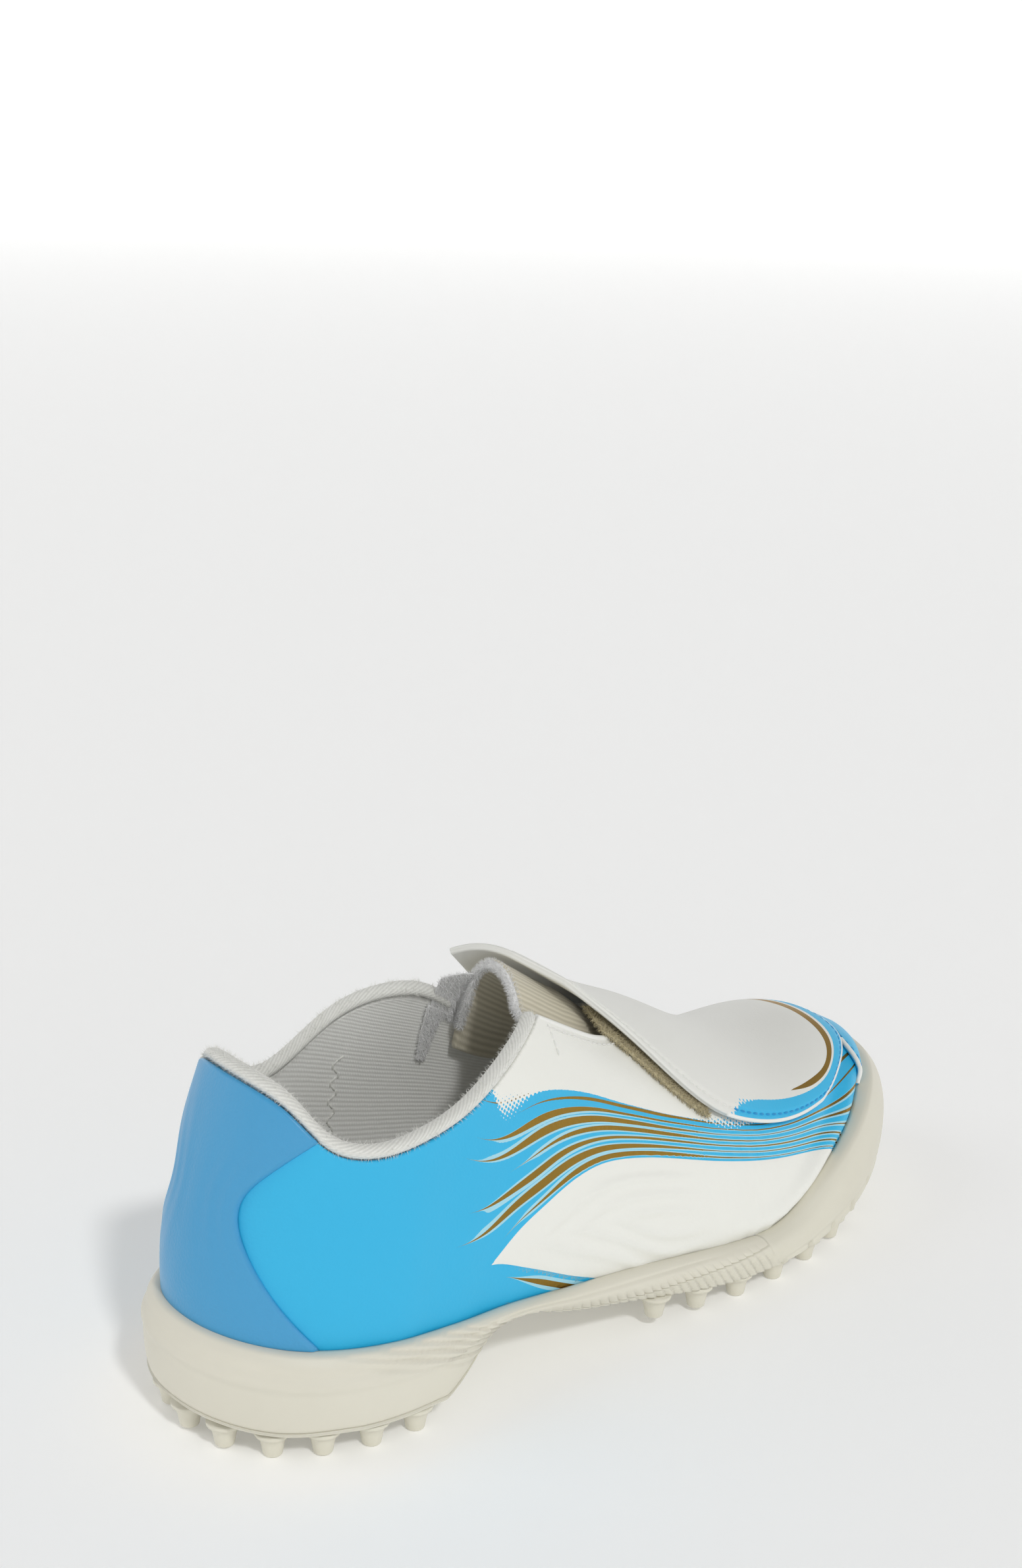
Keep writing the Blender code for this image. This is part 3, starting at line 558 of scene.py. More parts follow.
outsole_stations = np.sort(np.concatenate((close_ends(0.0, 1.0, 520), [MIDSOLE_END, MIDSOLE_END + 0.0015])))
outsole = tray(
    "outsole",
    outsole_stations,
    lambda s: split_share(s) * np.linspace(0, 1, 34) ** 1.15,
    outsole_relief,
    rubber,
    lambda s: footbed(s) - 0.1 * MM,
)

STUD_MARGIN = 5.2 * MM
STUD_CROWDING = 0.8
STUD_AREAS = ((0.0, 0.235, 9.6 * MM), (0.515, 0.95, 11.6 * MM))
stud_places = []
for area_start, area_stop, pitch in STUD_AREAS:
    for ring in range(4):
        for side in (OUTER, INNER):
            walk = None
            xs, middles, halves = plan_point(np.linspace(0, 1, 600), side, STUD_MARGIN + ring * pitch)
            for x, y in zip(xs, middles + side * halves):
                point = np.array((x, y))
                if not area_start * SOLE_LENGTH <= x <= area_stop * SOLE_LENGTH:
                    continue
                if walk is not None and np.linalg.norm(point - walk) < pitch:
                    continue
                walk = point
                if all(np.linalg.norm(point - p) > pitch * STUD_CROWDING for p in stud_places):
                    stud_places.append(point)

# Turned profile of a nub, shares of its height from the tip and radius in millimetres.
STUD_PROFILE = (
    (0.0, 0.0), (0.0, 1.55), (0.025, 1.8), (0.07, 1.95), (0.5, 2.3),
    (0.8, 2.62), (0.93, 3.05), (1.0, 3.6), (1.2, 3.7), (1.2, 0.0),
)
STUD_SIDES = 16
nub = bpy.data.meshes.new("nub")
nub_points, nub_rows = [], len(STUD_PROFILE)
for height, radius in STUD_PROFILE:
    for k in range(STUD_SIDES):
        angle = 2 * math.pi * k / STUD_SIDES
        ring_point = (radius * math.cos(angle), radius * math.sin(angle))
        nub_points.append((ring_point[0] * MM, ring_point[1] * MM, height * STUD_HEIGHT))
nub.from_pydata(nub_points, [], grid_faces(nub_rows, STUD_SIDES, closed=True))
nub_bm = bmesh.new()
nub_bm.from_mesh(nub)
bmesh.ops.remove_doubles(nub_bm, verts=nub_bm.verts, dist=0.001 * MM)
bmesh.ops.recalc_face_normals(nub_bm, faces=nub_bm.faces)
nub_bm.to_mesh(nub)
nub_bm.free()
nub_object = bpy.data.objects.new("nub_shape", nub)


def node_tree(name, sockets):
    """A Geometry Nodes tree with these named inputs. Returns it, its input and output nodes."""
    tree = bpy.data.node_groups.new(name, "GeometryNodeTree")
    for label, kind in (("Geometry", "Geometry"), *sockets):
        tree.interface.new_socket(name=label, in_out="INPUT", socket_type="NodeSocket" + kind)
    tree.interface.new_socket(name="Geometry", in_out="OUTPUT", socket_type="NodeSocketGeometry")
    return tree, node(tree, "NodeGroupInput"), node(tree, "NodeGroupOutput")


def finish_tree(tree, output, instances, material):
    """Ends a tree: its instances are made real and get the material."""
    real = node(tree, "GeometryNodeRealizeInstances", {"Geometry": instances})
    finished = node(tree, "GeometryNodeSetMaterial", {"Geometry": real, "Material": material})
    tree.links.new(finished.outputs[0], output.inputs[0])


def grow(name, base, tree, values):
    """Runs the tree on a base mesh and returns the result as a plain mesh object."""
    carrier = bpy.data.objects.new(name + "_base", base)
    bpy.context.scene.collection.objects.link(carrier)
    modifier = carrier.modifiers.new("grow", "NODES")
    modifier.node_group = tree
    for item in tree.interface.items_tree:
        if item.in_out == "INPUT" and item.name in values:
            modifier[item.identifier] = values[item.name]
    bpy.context.view_layer.update()
    seen = carrier.evaluated_get(bpy.context.evaluated_depsgraph_get())
    mesh = bpy.data.meshes.new_from_object(seen)
    mesh.name = name
    bpy.data.objects.remove(carrier)
    made = bpy.data.objects.new(name, mesh)
    bpy.context.scene.collection.objects.link(made)
    return made


def point_mesh(name, points, as_line=False):
    """A mesh of bare points in the last's frame, joined in a line if asked."""
    mesh = bpy.data.meshes.new(name)
    places = (np.asarray(points) + TO_FRAME).tolist()
    links = [(i, i + 1) for i in range(len(places) - 1)] if as_line else []
    mesh.from_pydata(places, links, [])
    return mesh


stud_tree, stud_in, stud_out = node_tree("nubs", (("Shape", "Object"), ("Rubber", "Material")))
stud_shape = node(stud_tree, "GeometryNodeObjectInfo", {"Object": stud_in.outputs["Shape"]})
stud_set = node(
    stud_tree,
    "GeometryNodeInstanceOnPoints",
    {"Points": stud_in.outputs["Geometry"], "Instance": stud_shape.outputs["Geometry"]},
)
finish_tree(stud_tree, stud_out, stud_set, stud_in.outputs["Rubber"])
stud_xy = np.array(stud_places)
stud_z = underside(stud_xy[:, 0] / SOLE_LENGTH) - STUD_HEIGHT
studs = grow(
    "outsole_nubs",
    point_mesh("nub_points", np.column_stack((stud_xy, stud_z))),
    stud_tree,
    {"Shape": nub_object, "Rubber": rubber},
)
studs.data.shade_smooth()
settle(outsole, "sole_rubber", "outsole")
settle(studs, "sole_rubber")

# Midsole
# Moulded foam wedge in the outsole's cream: thick and smooth under the heel, with a soft shoulder
# round it, and fine slanted ribs pressed into its side at the waist. It runs out at the ball.


def midsole_shares(station):
    start = split_share(station) + GAP / (wall_top(station) - underside(station))
    return start + (1 - start) * np.linspace(0, 1, 44)


def midsole_relief(station, side, share):
    """Depth of the pressed creases, and of the step under the heel's soft shoulder."""
    start = split_share(station)
    height = (share - start) / (1 - start)
    shoulder = smooth((0.66 - height) / 0.12) * smooth((0.34 - station) / 0.12)
    ledge = 0.35 * np.exp(-(((height - 0.80) / 0.07) ** 2)) * smooth((0.62 - station) / 0.1)
    return (RIB_DEPTH * waist_ribs(station, side, share) + 0.5 * shoulder + ledge) * MM


midsole = tray(
    "midsole",
    close_ends(0.0, MIDSOLE_END - GAP / SOLE_LENGTH, 560),
    midsole_shares,
    midsole_relief,
    foam,
    lambda s: np.maximum(footbed(s) - 0.1 * MM, 0.0),
)
settle(midsole, "sole_foam", "midsole")

# Upper
# One skin of off-white synthetic leather, stretched over a last and cemented into the sole. A
# sky-blue field with fine gold streamlines is printed on both its sides, and a white panel low on
# each side is embossed. A brushed lining is bonded inside it.
THROAT_WIDTH = 28 * MM
CORNER_STATION = 0.405
THROAT_END = 0.60
SKIN = 1.2 * MM
WALL = 2.0 * MM
SECTION = 75 * MM  # length round half a section, for sizes on the surface
COLLAR = table(
    "station outer inner",
    [
        (0.00, 0.950, 0.950),
        (0.03, 0.910, 0.915),
        (0.07, 0.825, 0.840),
        (0.11, 0.785, 0.790),
        (0.18, 0.780, 0.745),
        (0.25, 0.800, 0.885),
        (0.31, 0.845, 0.960),
        (0.36, 0.895, 0.968),
        (0.405, 0.94, 0.925),
    ],
)
# Edges of the print on each side, as shares of the section: its top, and the white panel's.
PRINT = table(
    "station top panel bottom",
    [
        (0.00, 0.62, 0.00, 0.00),
        (0.10, 0.55, 0.01, 0.00),
        (0.20, 0.46, 0.04, 0.04),
        (0.28, 0.39, 0.10, 0.10),
        (0.32, 0.393, 0.15, 0.085),
        (0.36, 0.427, 0.19, 0.060),
        (0.40, 0.449, 0.235, 0.035),
        (0.46, 0.461, 0.285, 0.000),
        (0.52, 0.448, 0.300, -0.05),
        (0.60, 0.420, 0.285, -0.05),
        (0.70, 0.425, 0.275, -0.05),
        (0.77, 0.445, 0.255, -0.05),
        (0.82, 0.465, 0.190, -0.05),
        (0.87, 0.490, 0.020, -0.05),
        (1.00, 0.500, 0.000, -0.05),
    ],
)
STREAMLINES = 7


def throat_half(station):
    """Half width of the throat, which closes in a round end."""
    return THROAT_WIDTH / 2 * round_end(1.6 * (THROAT_END - station) / (THROAT_END - CORNER_STATION), 2.0)


def edge_share(station, side):
    """Share of the section where the upper ends, at the collar or the throat. 1 is whole."""
    station, side = np.broadcast_arrays(np.asarray(station, float), side)

    def share_at_half(at, half):
        ridge = last_curve(at, side, 1.0)[..., 1]
        return share_at(at, side, -half, lambda p: -abs(p[..., 1] - ridge))

    def own_height(at):
        return np.where(side < 0, COLLAR["outer"](at), COLLAR["inner"](at))

    corner = np.full(station.shape, CORNER_STATION)
    corner_point = last_curve(corner, side, share_at_half(corner, throat_half(corner)))
    rise = corner_point[..., 2] / COLLAR_HEIGHT - own_height(corner)
    height = own_height(station) + rise * (station / CORNER_STATION) ** 4
    collar = share_at_height(station, side, height * COLLAR_HEIGHT)
    throat = share_at_half(station, throat_half(station))
    edge = np.where(station >= CORNER_STATION, throat, collar)
    return np.where(station >= THROAT_END, 1.0, edge)


def shell(name, counts, columns, offsets, materials, relief, fields):
    """A closed shell between two offsets from the last. relief adds to the first offset, and
    fields gives named values at stations, sides and shares."""
    stations = np.concatenate(
        (
            CORNER_STATION * (1 - np.cos(np.linspace(0, math.pi / 2, counts[0])[:-1])),
            np.linspace(CORNER_STATION, THROAT_END - 0.0012, counts[1])[:-1],
            THROAT_END - 0.0012 * np.linspace(1, 0, 5)[:-1],
            THROAT_END + (1 - THROAT_END) * np.sin(np.linspace(0, math.pi / 2, counts[2])),
        )
    )
    station = stations[:, None]
    grids, faces, values, start = [], [], {}, 0
    for side in (OUTER, INNER):
        share = edge_share(station, side) * np.linspace(0, 1, columns)
        index = np.arange(share.size).reshape(share.shape)
        outer = on_last(station, side, share, offsets[0] + relief(station, side, share))
        inner = on_last(station, side, share, offsets[1])
        for grid in (outer, inner):
            grid[..., 2] = np.maximum(grid[..., 2], footbed(station) + GAP)
            grids.append(grid)
        for label, value in fields(station, side, share).items():
            values.setdefault(label, []).extend([np.broadcast_to(value, share.shape)] * 2)
        for first in (start, start + share.size):
            faces += grid_faces(*share.shape, first)
        open_rows = int(np.sum(stations < THROAT_END - 1e-6))
        for line in (index[:, 0], index[: open_rows + 1, -1]):
            pair = np.stack((line, line + share.size)) + start
            faces += np.stack((pair[0, :-1], pair[0, 1:], pair[1, 1:], pair[1, :-1]), -1).tolist()
        start += 2 * share.size
    return make_piece(name, grids, faces, materials, values)


def print_fields(station, side, share):
    """Where the print lies: streamline phase, half widths of gold and of its pale margin, and
    millimetres into the blue field and into the white panel."""
    top, panel = PRINT["top"](station), PRINT["panel"](station)
    bottom = PRINT["bottom"](station)
    flow = (share - panel) / np.maximum(top - panel, 0.05)
    flow = flow + 0.035 * np.sin(14 * station + 2.5) * smooth((flow + 0.2) / 0.5)
    phase = STREAMLINES * flow
    starts = 0.250 + 0.040 * np.sin(2.1 * phase + 0.7) + 0.006 * phase
    grown = smooth((station - starts) / 0.13) * (1 - 0.62 * smooth((station - 0.52) / 0.12))
    swell = 0.72 + 0.28 * np.sin(13 * station + 1.9 * phase)
    above = smooth((phase + 0.05) / 0.4)
    gold = 0.33 * grown * swell * above
    pale = gold + 0.17 * smooth(grown * 3) * above * smooth((STREAMLINES - 1.2 - phase) / 0.8)
    beneath = (bottom - share) * SECTION / (3.4 * MM)
    lower = (beneath > 0) & (station > 0.285)
    phase = np.where(lower, -beneath, phase)
    lower_gold = 0.13 * smooth((station - 0.30) / 0.06)
    gold = np.where(lower, lower_gold, gold)
    pale = np.where(lower, lower_gold * 2.2, pale)
    blue_top = top + 6 * np.maximum(0, 0.31 - station) + 8 * np.maximum(0, station - 0.87)
    into_blue = (blue_top - share) * SECTION / MM
    front = (1 - smooth((station - 0.86) / 0.02)) * 90
    into_panel = np.minimum((panel - share) * SECTION / MM, (share - bottom) * SECTION / MM)
    into_panel = np.minimum(into_panel, (station - 0.272) * SOLE_LENGTH / MM)
    into_panel = np.minimum(into_panel, front)
    dotted = np.exp(-(((station - 0.32) / 0.03) ** 2)) + np.exp(-(((station - 0.65) / 0.03) ** 2))
    fade = 0.15 + 7.0 * dotted
    return {
        "phase": phase,
        "gold": gold,
        "pale": pale,
        "blue": into_blue + 0.35 * fade,
        "fade": fade,
        "panel": into_panel,
    }


FOREFOOT_ROLL = 1.7 * MM
EMBOSS, SLACK = 0.62, 0.16  # millimetres


def lasted_roll(station, side, share):
    """How far the lasted skin rolls out over the rim of the wall at the forefoot."""
    over = (last_curve(station, side, share)[..., 2] - wall_top(station)) / MM
    roll = smooth(over / 2.2) * (1 - smooth((over - 2.5) / 4.5))
    return FOREFOOT_ROLL * roll * smooth((station - 0.58) / 0.14)


def skin_relief(station, side, share):
    """Embossed lines nested in the panel, a step round it, and slack in the skin."""
    fields = print_fields(station, side, share)
    inside = fields["panel"]
    ridges = sum(np.exp(-(((inside - depth) / 0.75) ** 2)) for depth in (4.0, 7.4, 10.8))
    window = smooth((station - 0.33) / 0.05) * smooth((0.62 - station) / 0.10)
    step = 0.22 * smooth((inside + 0.4) / 0.8)
    slack = np.sin(55 * station + 9 * share + side) * np.sin(21 * share - 30 * station)
    flex = np.exp(-(((station - 0.665) / 0.05) ** 2)) * smooth((0.5 - share) / 0.2)
    puckers = flex * np.sin(260 * station + 20 * share + 1.3 * side)
    made = (EMBOSS * ridges * window + step + SLACK * slack + SLACK * puckers) * MM
    return made + lasted_roll(station, side, share)


GRAIN = 0.55 * MM  # pebble of the embossed grain, drawn about twice as coarse as it is


def grained(name, colour, roughness, strength=0.25):
    """Coated synthetic leather: satin, with a fine pebbled grain that softens its highlights."""
    made, tree, shader = start_material(name, colour, roughness)
    place = node(tree, "ShaderNodeTexCoord").outputs["Object"]
    pebble = node(tree, "ShaderNodeTexVoronoi", {"Vector": place, "Scale": 1 / GRAIN}, feature="SMOOTH_F1")
    cloud = node(tree, "ShaderNodeTexNoise", {"Vector": place, "Scale": 110.0, "Detail": 4.0})
    height = node(tree, "ShaderNodeMath", {0: pebble, 1: cloud.outputs[0]}, operation="ADD")
    bump = node(tree, "ShaderNodeBump", {"Height": height, "Strength": strength, "Distance": 0.12 * MM})
    tree.links.new(bump.outputs[0], shader.inputs["Normal"])
    rough = node(
        tree,
        "ShaderNodeMapRange",
        {0: cloud.outputs[0], 3: roughness - 0.05, 4: roughness + 0.07},
    )
    tree.links.new(rough.outputs[0], shader.inputs["Roughness"])
    return made, tree, shader, bump


SKY, PALE_BLUE, GOLD_FOIL, OFF_WHITE = "#2FB9E9", "#A6DCEC", "#9C7C36", "#F0F0E9"
HALFTONE = 0.85 * MM  # pitch of the print's dots, drawn coarser than it is so that they show


def halftone(tree, place, inside, fade):
    """1 where the print covers: a grid of dots that shrink away across its edge."""
    turned = node(tree, "ShaderNodeMapping", {"Vector": place, "Rotation": (0, 0, math.radians(45))})
    settings = {"Vector": turned, "Scale": 1 / HALFTONE, "Randomness": 0.0}
    dots = node(tree, "ShaderNodeTexVoronoi", settings, voronoi_dimensions="2D")
    ratio = node(tree, "ShaderNodeMath", {0: inside, 1: fade}, operation="DIVIDE")
    return node(tree, "ShaderNodeMath", {0: dots.outputs["Distance"], 1: ratio}, operation="LESS_THAN")


printed, tree, shader, grain_bump = grained("printed_synthetic_leather", OFF_WHITE, 0.42)
field = {}
for label in ("phase", "gold", "pale", "blue", "fade", "panel"):
    field[label] = node(tree, "ShaderNodeAttribute", attribute_name=label).outputs["Fac"]
part = node(tree, "ShaderNodeMath", {0: field["phase"]}, operation="FRACT")
centred = node(tree, "ShaderNodeMath", {0: part, 1: 0.5}, operation="SUBTRACT")
from_line = node(tree, "ShaderNodeMath", {0: centred}, operation="ABSOLUTE")
in_gold = node(tree, "ShaderNodeMath", {0: from_line, 1: field["gold"]}, operation="LESS_THAN")
in_pale = node(tree, "ShaderNodeMath", {0: from_line, 1: field["pale"]}, operation="LESS_THAN")
place = node(tree, "ShaderNodeTexCoord").outputs["Object"]
split = node(tree, "ShaderNodeSeparateXYZ", {0: place})
flat = node(tree, "ShaderNodeCombineXYZ", {0: split.outputs[0], 1: split.outputs[2]})
dot_edge = halftone(tree, flat, field["blue"], field["fade"])
in_panel = node(tree, "ShaderNodeMath", {0: field["panel"], 1: 0.0}, operation="GREATER_THAN")
outside = node(tree, "ShaderNodeMath", {0: 1.0, 1: in_panel}, operation="SUBTRACT")
in_blue = node(tree, "ShaderNodeMath", {0: dot_edge, 1: outside}, operation="MULTIPLY")
on_print = node(tree, "ShaderNodeMath", {0: in_gold, 1: in_blue}, operation="MULTIPLY")
base = node(tree, "ShaderNodeMix", {0: in_pale, 6: linear(SKY), 7: linear(PALE_BLUE)}, data_type="RGBA")
on_white = node(
    tree, "ShaderNodeMix", {0: in_blue, 6: linear(OFF_WHITE), 7: base.outputs[2]}, data_type="RGBA"
)
with_gold = node(
    tree,
    "ShaderNodeMix",
    {0: on_print, 6: on_white.outputs[2], 7: linear(GOLD_FOIL)},
    data_type="RGBA",
)
tree.links.new(with_gold.outputs[2], shader.inputs["Base Color"])
tree.links.new(on_print.outputs[0], shader.inputs["Metallic"])
crinkle = node(tree, "ShaderNodeTexNoise", {"Vector": place, "Scale": 1100.0, "Detail": 5.0})
foil = node(tree, "ShaderNodeMath", {0: crinkle.outputs[0], 1: on_print}, operation="MULTIPLY")
foil_bump = node(
    tree,
    "ShaderNodeBump",
    {"Height": foil, "Normal": grain_bump, "Strength": 0.6, "Distance": 0.25 * MM},
)
tree.links.new(foil_bump.outputs[0], shader.inputs["Normal"])

upper = shell("upper_skin", (110, 40, 100), 84, (0.0, -SKIN), [printed], skin_relief, print_fields)
settle(upper, "upper_synthetic", "upper")

# Lining
# Off-white brushed knit with fine ribs, bonded to the inside of the skin and closed by a zigzag
# seam on each side of the heel.
LINING_RIB = 0.75 * MM  # pitch of its wales, drawn coarser than a real one so that they show


def knitted(name, colour, shade, rib, roughness=0.92):
    """Fine ribbed knit: matt, with painted shade that darkens the valleys between its wales."""
    made, tree, shader = start_material(name, colour, roughness)
    shader.inputs["Sheen Weight"].default_value = 0.35
    up = node(tree, "ShaderNodeAttribute", attribute_name="up").outputs["Fac"]
    along = node(tree, "ShaderNodeAttribute", attribute_name="along").outputs["Fac"]
    on_surface = node(tree, "ShaderNodeCombineXYZ", {0: up, 1: along})
    wale = node(
        tree,
        "ShaderNodeTexWave",
        {"Vector": on_surface, "Scale": 0.314 * MM / rib, "Distortion": 0.6, "Detail": 1.0},
        bands_direction="X",
    )
    course = node(
        tree,
        "ShaderNodeTexWave",
        {"Vector": on_surface, "Scale": 0.55 * MM / rib, "Distortion": 1.2, "Detail": 1.0},
        bands_direction="Y",
    )
    both = node(tree, "ShaderNodeMath", {0: wale.outputs[1], 1: course.outputs[1]}, operation="MULTIPLY")
    loops = node(tree, "ShaderNodeMath", {0: both, 1: wale.outputs[1]}, operation="ADD")
    # Painted shade: the valleys between the wales take the second, darker colour.
    tint = node(
        tree, "ShaderNodeMix", {0: wale.outputs[1], 6: linear(shade), 7: linear(colour)}, data_type="RGBA"
    )
    tree.links.new(tint.outputs[2], shader.inputs["Base Color"])
    bump = node(tree, "ShaderNodeBump", {"Height": loops, "Strength": 0.2, "Distance": 0.25 * MM})
    tree.links.new(bump.outputs[0], shader.inputs["Normal"])
    return made


def surface_fields(station, side, share):
    """Millimetres along and up the surface."""
    along = side * station * SOLE_LENGTH / MM + 0 * share
    return {"along": along, "up": share * SECTION / MM + 0 * station}


lining_knit = knitted("brushed_lining_knit", "#FAFAF6", "#EEEEE9", LINING_RIB)
lining = shell(
    "lining",
    (70, 26, 60),
    60,
    (-SKIN - 0.05 * MM, -WALL),
    [lining_knit],
    lambda station, side, share: 0 * share,
    surface_fields,
)
settle(lining, "collar_knit", "upper")

# Insole
# Flat foam sockliner with a woven grey top, laid loose on the footbed.
INSOLE_THICKNESS = 3.0 * MM
INSOLE_CLEAR = 0.8 * MM
insole_top = knitted("woven_sockliner", "#A9A9A4", "#8E8E8A", 1.0 * MM)
insole_stations = close_ends(0.0, 1.0, 90)[:, None]
margin = UPPER_MARGIN + WALL + INSOLE_CLEAR
insole_grids, insole_faces = [], []
across = np.linspace(-1, 1, 31)
side = np.where(across < 0, OUTER, INNER)
x, middle, half = plan_point(insole_stations, side, margin)
x = x + heel_shift(insole_stations, footbed(insole_stations) + INSOLE_THICKNESS)
y = middle + across * half
for lift in (0.35 * MM, INSOLE_THICKNESS):
    dish = 0.4 * MM * across**2 * (lift > MM)
    z = footbed(insole_stations) + lift + dish
    insole_grids.append(np.stack(np.broadcast_arrays(x, y, z), -1))
insole_index = np.arange(insole_grids[0][..., 0].size).reshape(insole_grids[0].shape[:2])
for first in (0, insole_index.size):
    insole_faces += grid_faces(*insole_index.shape, first)
loop = np.concatenate((insole_index[:, 0], insole_index[::-1, -1]))
ahead = np.roll(loop, -1)
insole_faces += np.stack((loop, ahead, ahead + insole_index.size, loop + insole_index.size), -1).tolist()
insole_fields = {"along": [np.broadcast_to(x / MM, y.shape)] * 2, "up": [y / MM] * 2}
insole = make_piece("insole", insole_grids, insole_faces, [insole_top], insole_fields)
settle(insole, "insole_foam", "insole")

# Collar band
# Soft knit folded over a thin foam roll and sewn along the collar, from one corner of the throat
# round the heel to the other.
BAND_HEIGHT = 2.8 * MM
BAND_WIDTH = 3.8 * MM
CORNER_CLEAR = 0.005
HALF_STEPS = 150  # points along half the route
BAND_RINGS, BAND_SIDES = 520, 24
half_route = (CORNER_STATION - CORNER_CLEAR) * (1 - np.cos(np.linspace(0, math.pi / 2, HALF_STEPS)))
route_station = np.concatenate((half_route[::-1], half_route[1:]))
route_side = np.concatenate((np.full(HALF_STEPS, OUTER), np.full(HALF_STEPS - 1, INNER)))
edge = edge_share(route_station, route_side)
out = last_normal(route_station, route_side, edge)
out[HALF_STEPS - 1, 1] = 0.0
out /= np.linalg.norm(out, axis=1, keepdims=True)
point = last_curve(route_station, route_side, edge)
up = point - last_curve(route_station, route_side, edge - 0.02)
up -= out * np.sum(up * out, 1, keepdims=True)
up /= np.linalg.norm(up, axis=1, keepdims=True)
centre = point - out * WALL / 2 + up * (GAP + BAND_HEIGHT / 2)
travel = np.concatenate(([0], np.cumsum(np.linalg.norm(np.diff(centre, axis=0), axis=1))))
even = np.linspace(0, travel[-1], BAND_RINGS)
centre, out, up = (
    np.stack([np.interp(even, travel, values[:, k]) for k in range(3)], -1) for values in (centre, out, up)
)
angles = np.linspace(0, 2 * math.pi, BAND_SIDES, endpoint=False)
ease = np.sqrt(np.clip(np.minimum(even, even[-1] - even) / (1.4 * MM), 0.02, 1))
twill = 0.05 * MM * np.cos(2 * math.pi * even[:, None] / (1.1 * MM) + 3 * angles)
swell = 1 + 0.05 * np.sin(even / (9 * MM))[:, None]
wide = (BAND_WIDTH / 2 * swell + twill) * ease[:, None] * np.cos(angles)
high = (BAND_HEIGHT / 2 * swell + twill) * ease[:, None] * np.sin(angles)
tube = centre[:, None] + out[:, None] * wide[..., None] + up[:, None] * high[..., None]
tube_faces = grid_faces(*tube.shape[:2], closed=True)
last_ring = (BAND_RINGS - 1) * BAND_SIDES
tube_faces += [list(range(BAND_SIDES)), list(range(last_ring, last_ring + BAND_SIDES))]
band_fields = {
    "along": [np.broadcast_to(even[:, None] / MM, wide.shape)],
    "up": [np.broadcast_to(angles * 1.6 + even[:, None] / MM * 0.6, wide.shape)],
}
band_knit = knitted("collar_knit", "#EEEEE8", "#DADAD4", 0.8 * MM)
band = make_piece("collar_band", [tube], tube_faces, [band_knit], band_fields)
settle(band, "collar_knit", "collar_band")

# Tongue
# Beige ribbed knit with a thin foam core, sewn under both edges of the throat and swelling up
# between them. Its free rear edge is rolled.
TONGUE_THICKNESS = 2.2 * MM
TONGUE_GAP = 0.5 * MM
TONGUE_SWELL = 0.5 * MM
TONGUE_FREE, TONGUE_FADE, TONGUE_TUCK, TONGUE_AHEAD = 0.76, 0.08, 0.10, 0.03


def rim_loop(grid):
    """The grid's outer points in order round it."""
    return np.concatenate((grid[0], grid[1:-1, -1], grid[-1, ::-1], grid[-2:0:-1, 0]))


def sheet(name, top, bottom, materials, fields, rim=(0.7, 1.0, 1.0, 0.7), reach=0.3 * MM):
    """A closed sheet from its two faces, with a rim that bulges by shares of the reach."""
    rows, columns = top.shape[:2]
    inward = np.ix_(np.clip(np.arange(rows), 1, rows - 2), np.clip(np.arange(columns), 1, columns - 2))
    high, low = rim_loop(top), rim_loop(bottom)
    outward = high - rim_loop(top[inward])
    outward /= np.linalg.norm(outward, axis=1, keepdims=True)
    steps = np.linspace(0, 1, len(rim) + 2)
    bulges = (0.0, *rim, 0.0)
    loops = np.stack([high + (low - high) * k + outward * b * reach for k, b in zip(steps, bulges)])
    faces = grid_faces(rows, columns) + grid_faces(rows, columns, rows * columns)
    faces += grid_faces(*loops.shape[:2], 2 * rows * columns, closed=True)
    values = {}
    for label, value in fields.items():
        value = np.broadcast_to(value, (rows, columns))
        values[label] = [value, value, np.tile(rim_loop(value), (len(steps), 1))]
    return make_piece(name, [top, bottom, loops], faces, materials, values)


station = np.linspace(CORNER_STATION + CORNER_CLEAR, THROAT_END + TONGUE_AHEAD, 110)[:, None]
across = np.linspace(-1, 1, 101)
side = np.where(across < 0, OUTER, INNER)
open_share = 1 - edge_share(station, side)
reach = open_share + TONGUE_TUCK
ahead = smooth((THROAT_END - TONGUE_AHEAD - station) / TONGUE_FADE)
bulge = np.maximum(0, 1 - (abs(across) * reach / np.maximum(open_share * TONGUE_FREE, 0.01)) ** 2)
bulge = bulge * ahead * (WALL + TONGUE_GAP + TONGUE_SWELL)
under = -WALL - TONGUE_GAP - TONGUE_THICKNESS + bulge
ribs = 0.04 * MM * np.cos(2 * math.pi * across * 15 * MM / (0.8 * MM))
share = 1 - abs(across) * reach
tongue = sheet(
    "tongue",
    on_last(station, side, share, under + TONGUE_THICKNESS - 0.1 * MM + ribs),
    on_last(station, side, share, under),
    [knitted("ribbed_tongue_knit", "#D9D2BD", "#C0B9A3", 0.8 * MM)],
    {"along": station * SOLE_LENGTH / MM, "up": across * 15.0},
    reach=0.5 * MM,
)
settle(tongue, "tongue_knit", "tongue")

# Velvet binding
# Silver-grey velvet tape: folded over the tongue's rear edge, as a facing inside the front edge of
# each quarter, and as a gusset from the inner quarter to the tongue. Its short nap catches the light.
BINDING_RADIUS = 0.95 * MM
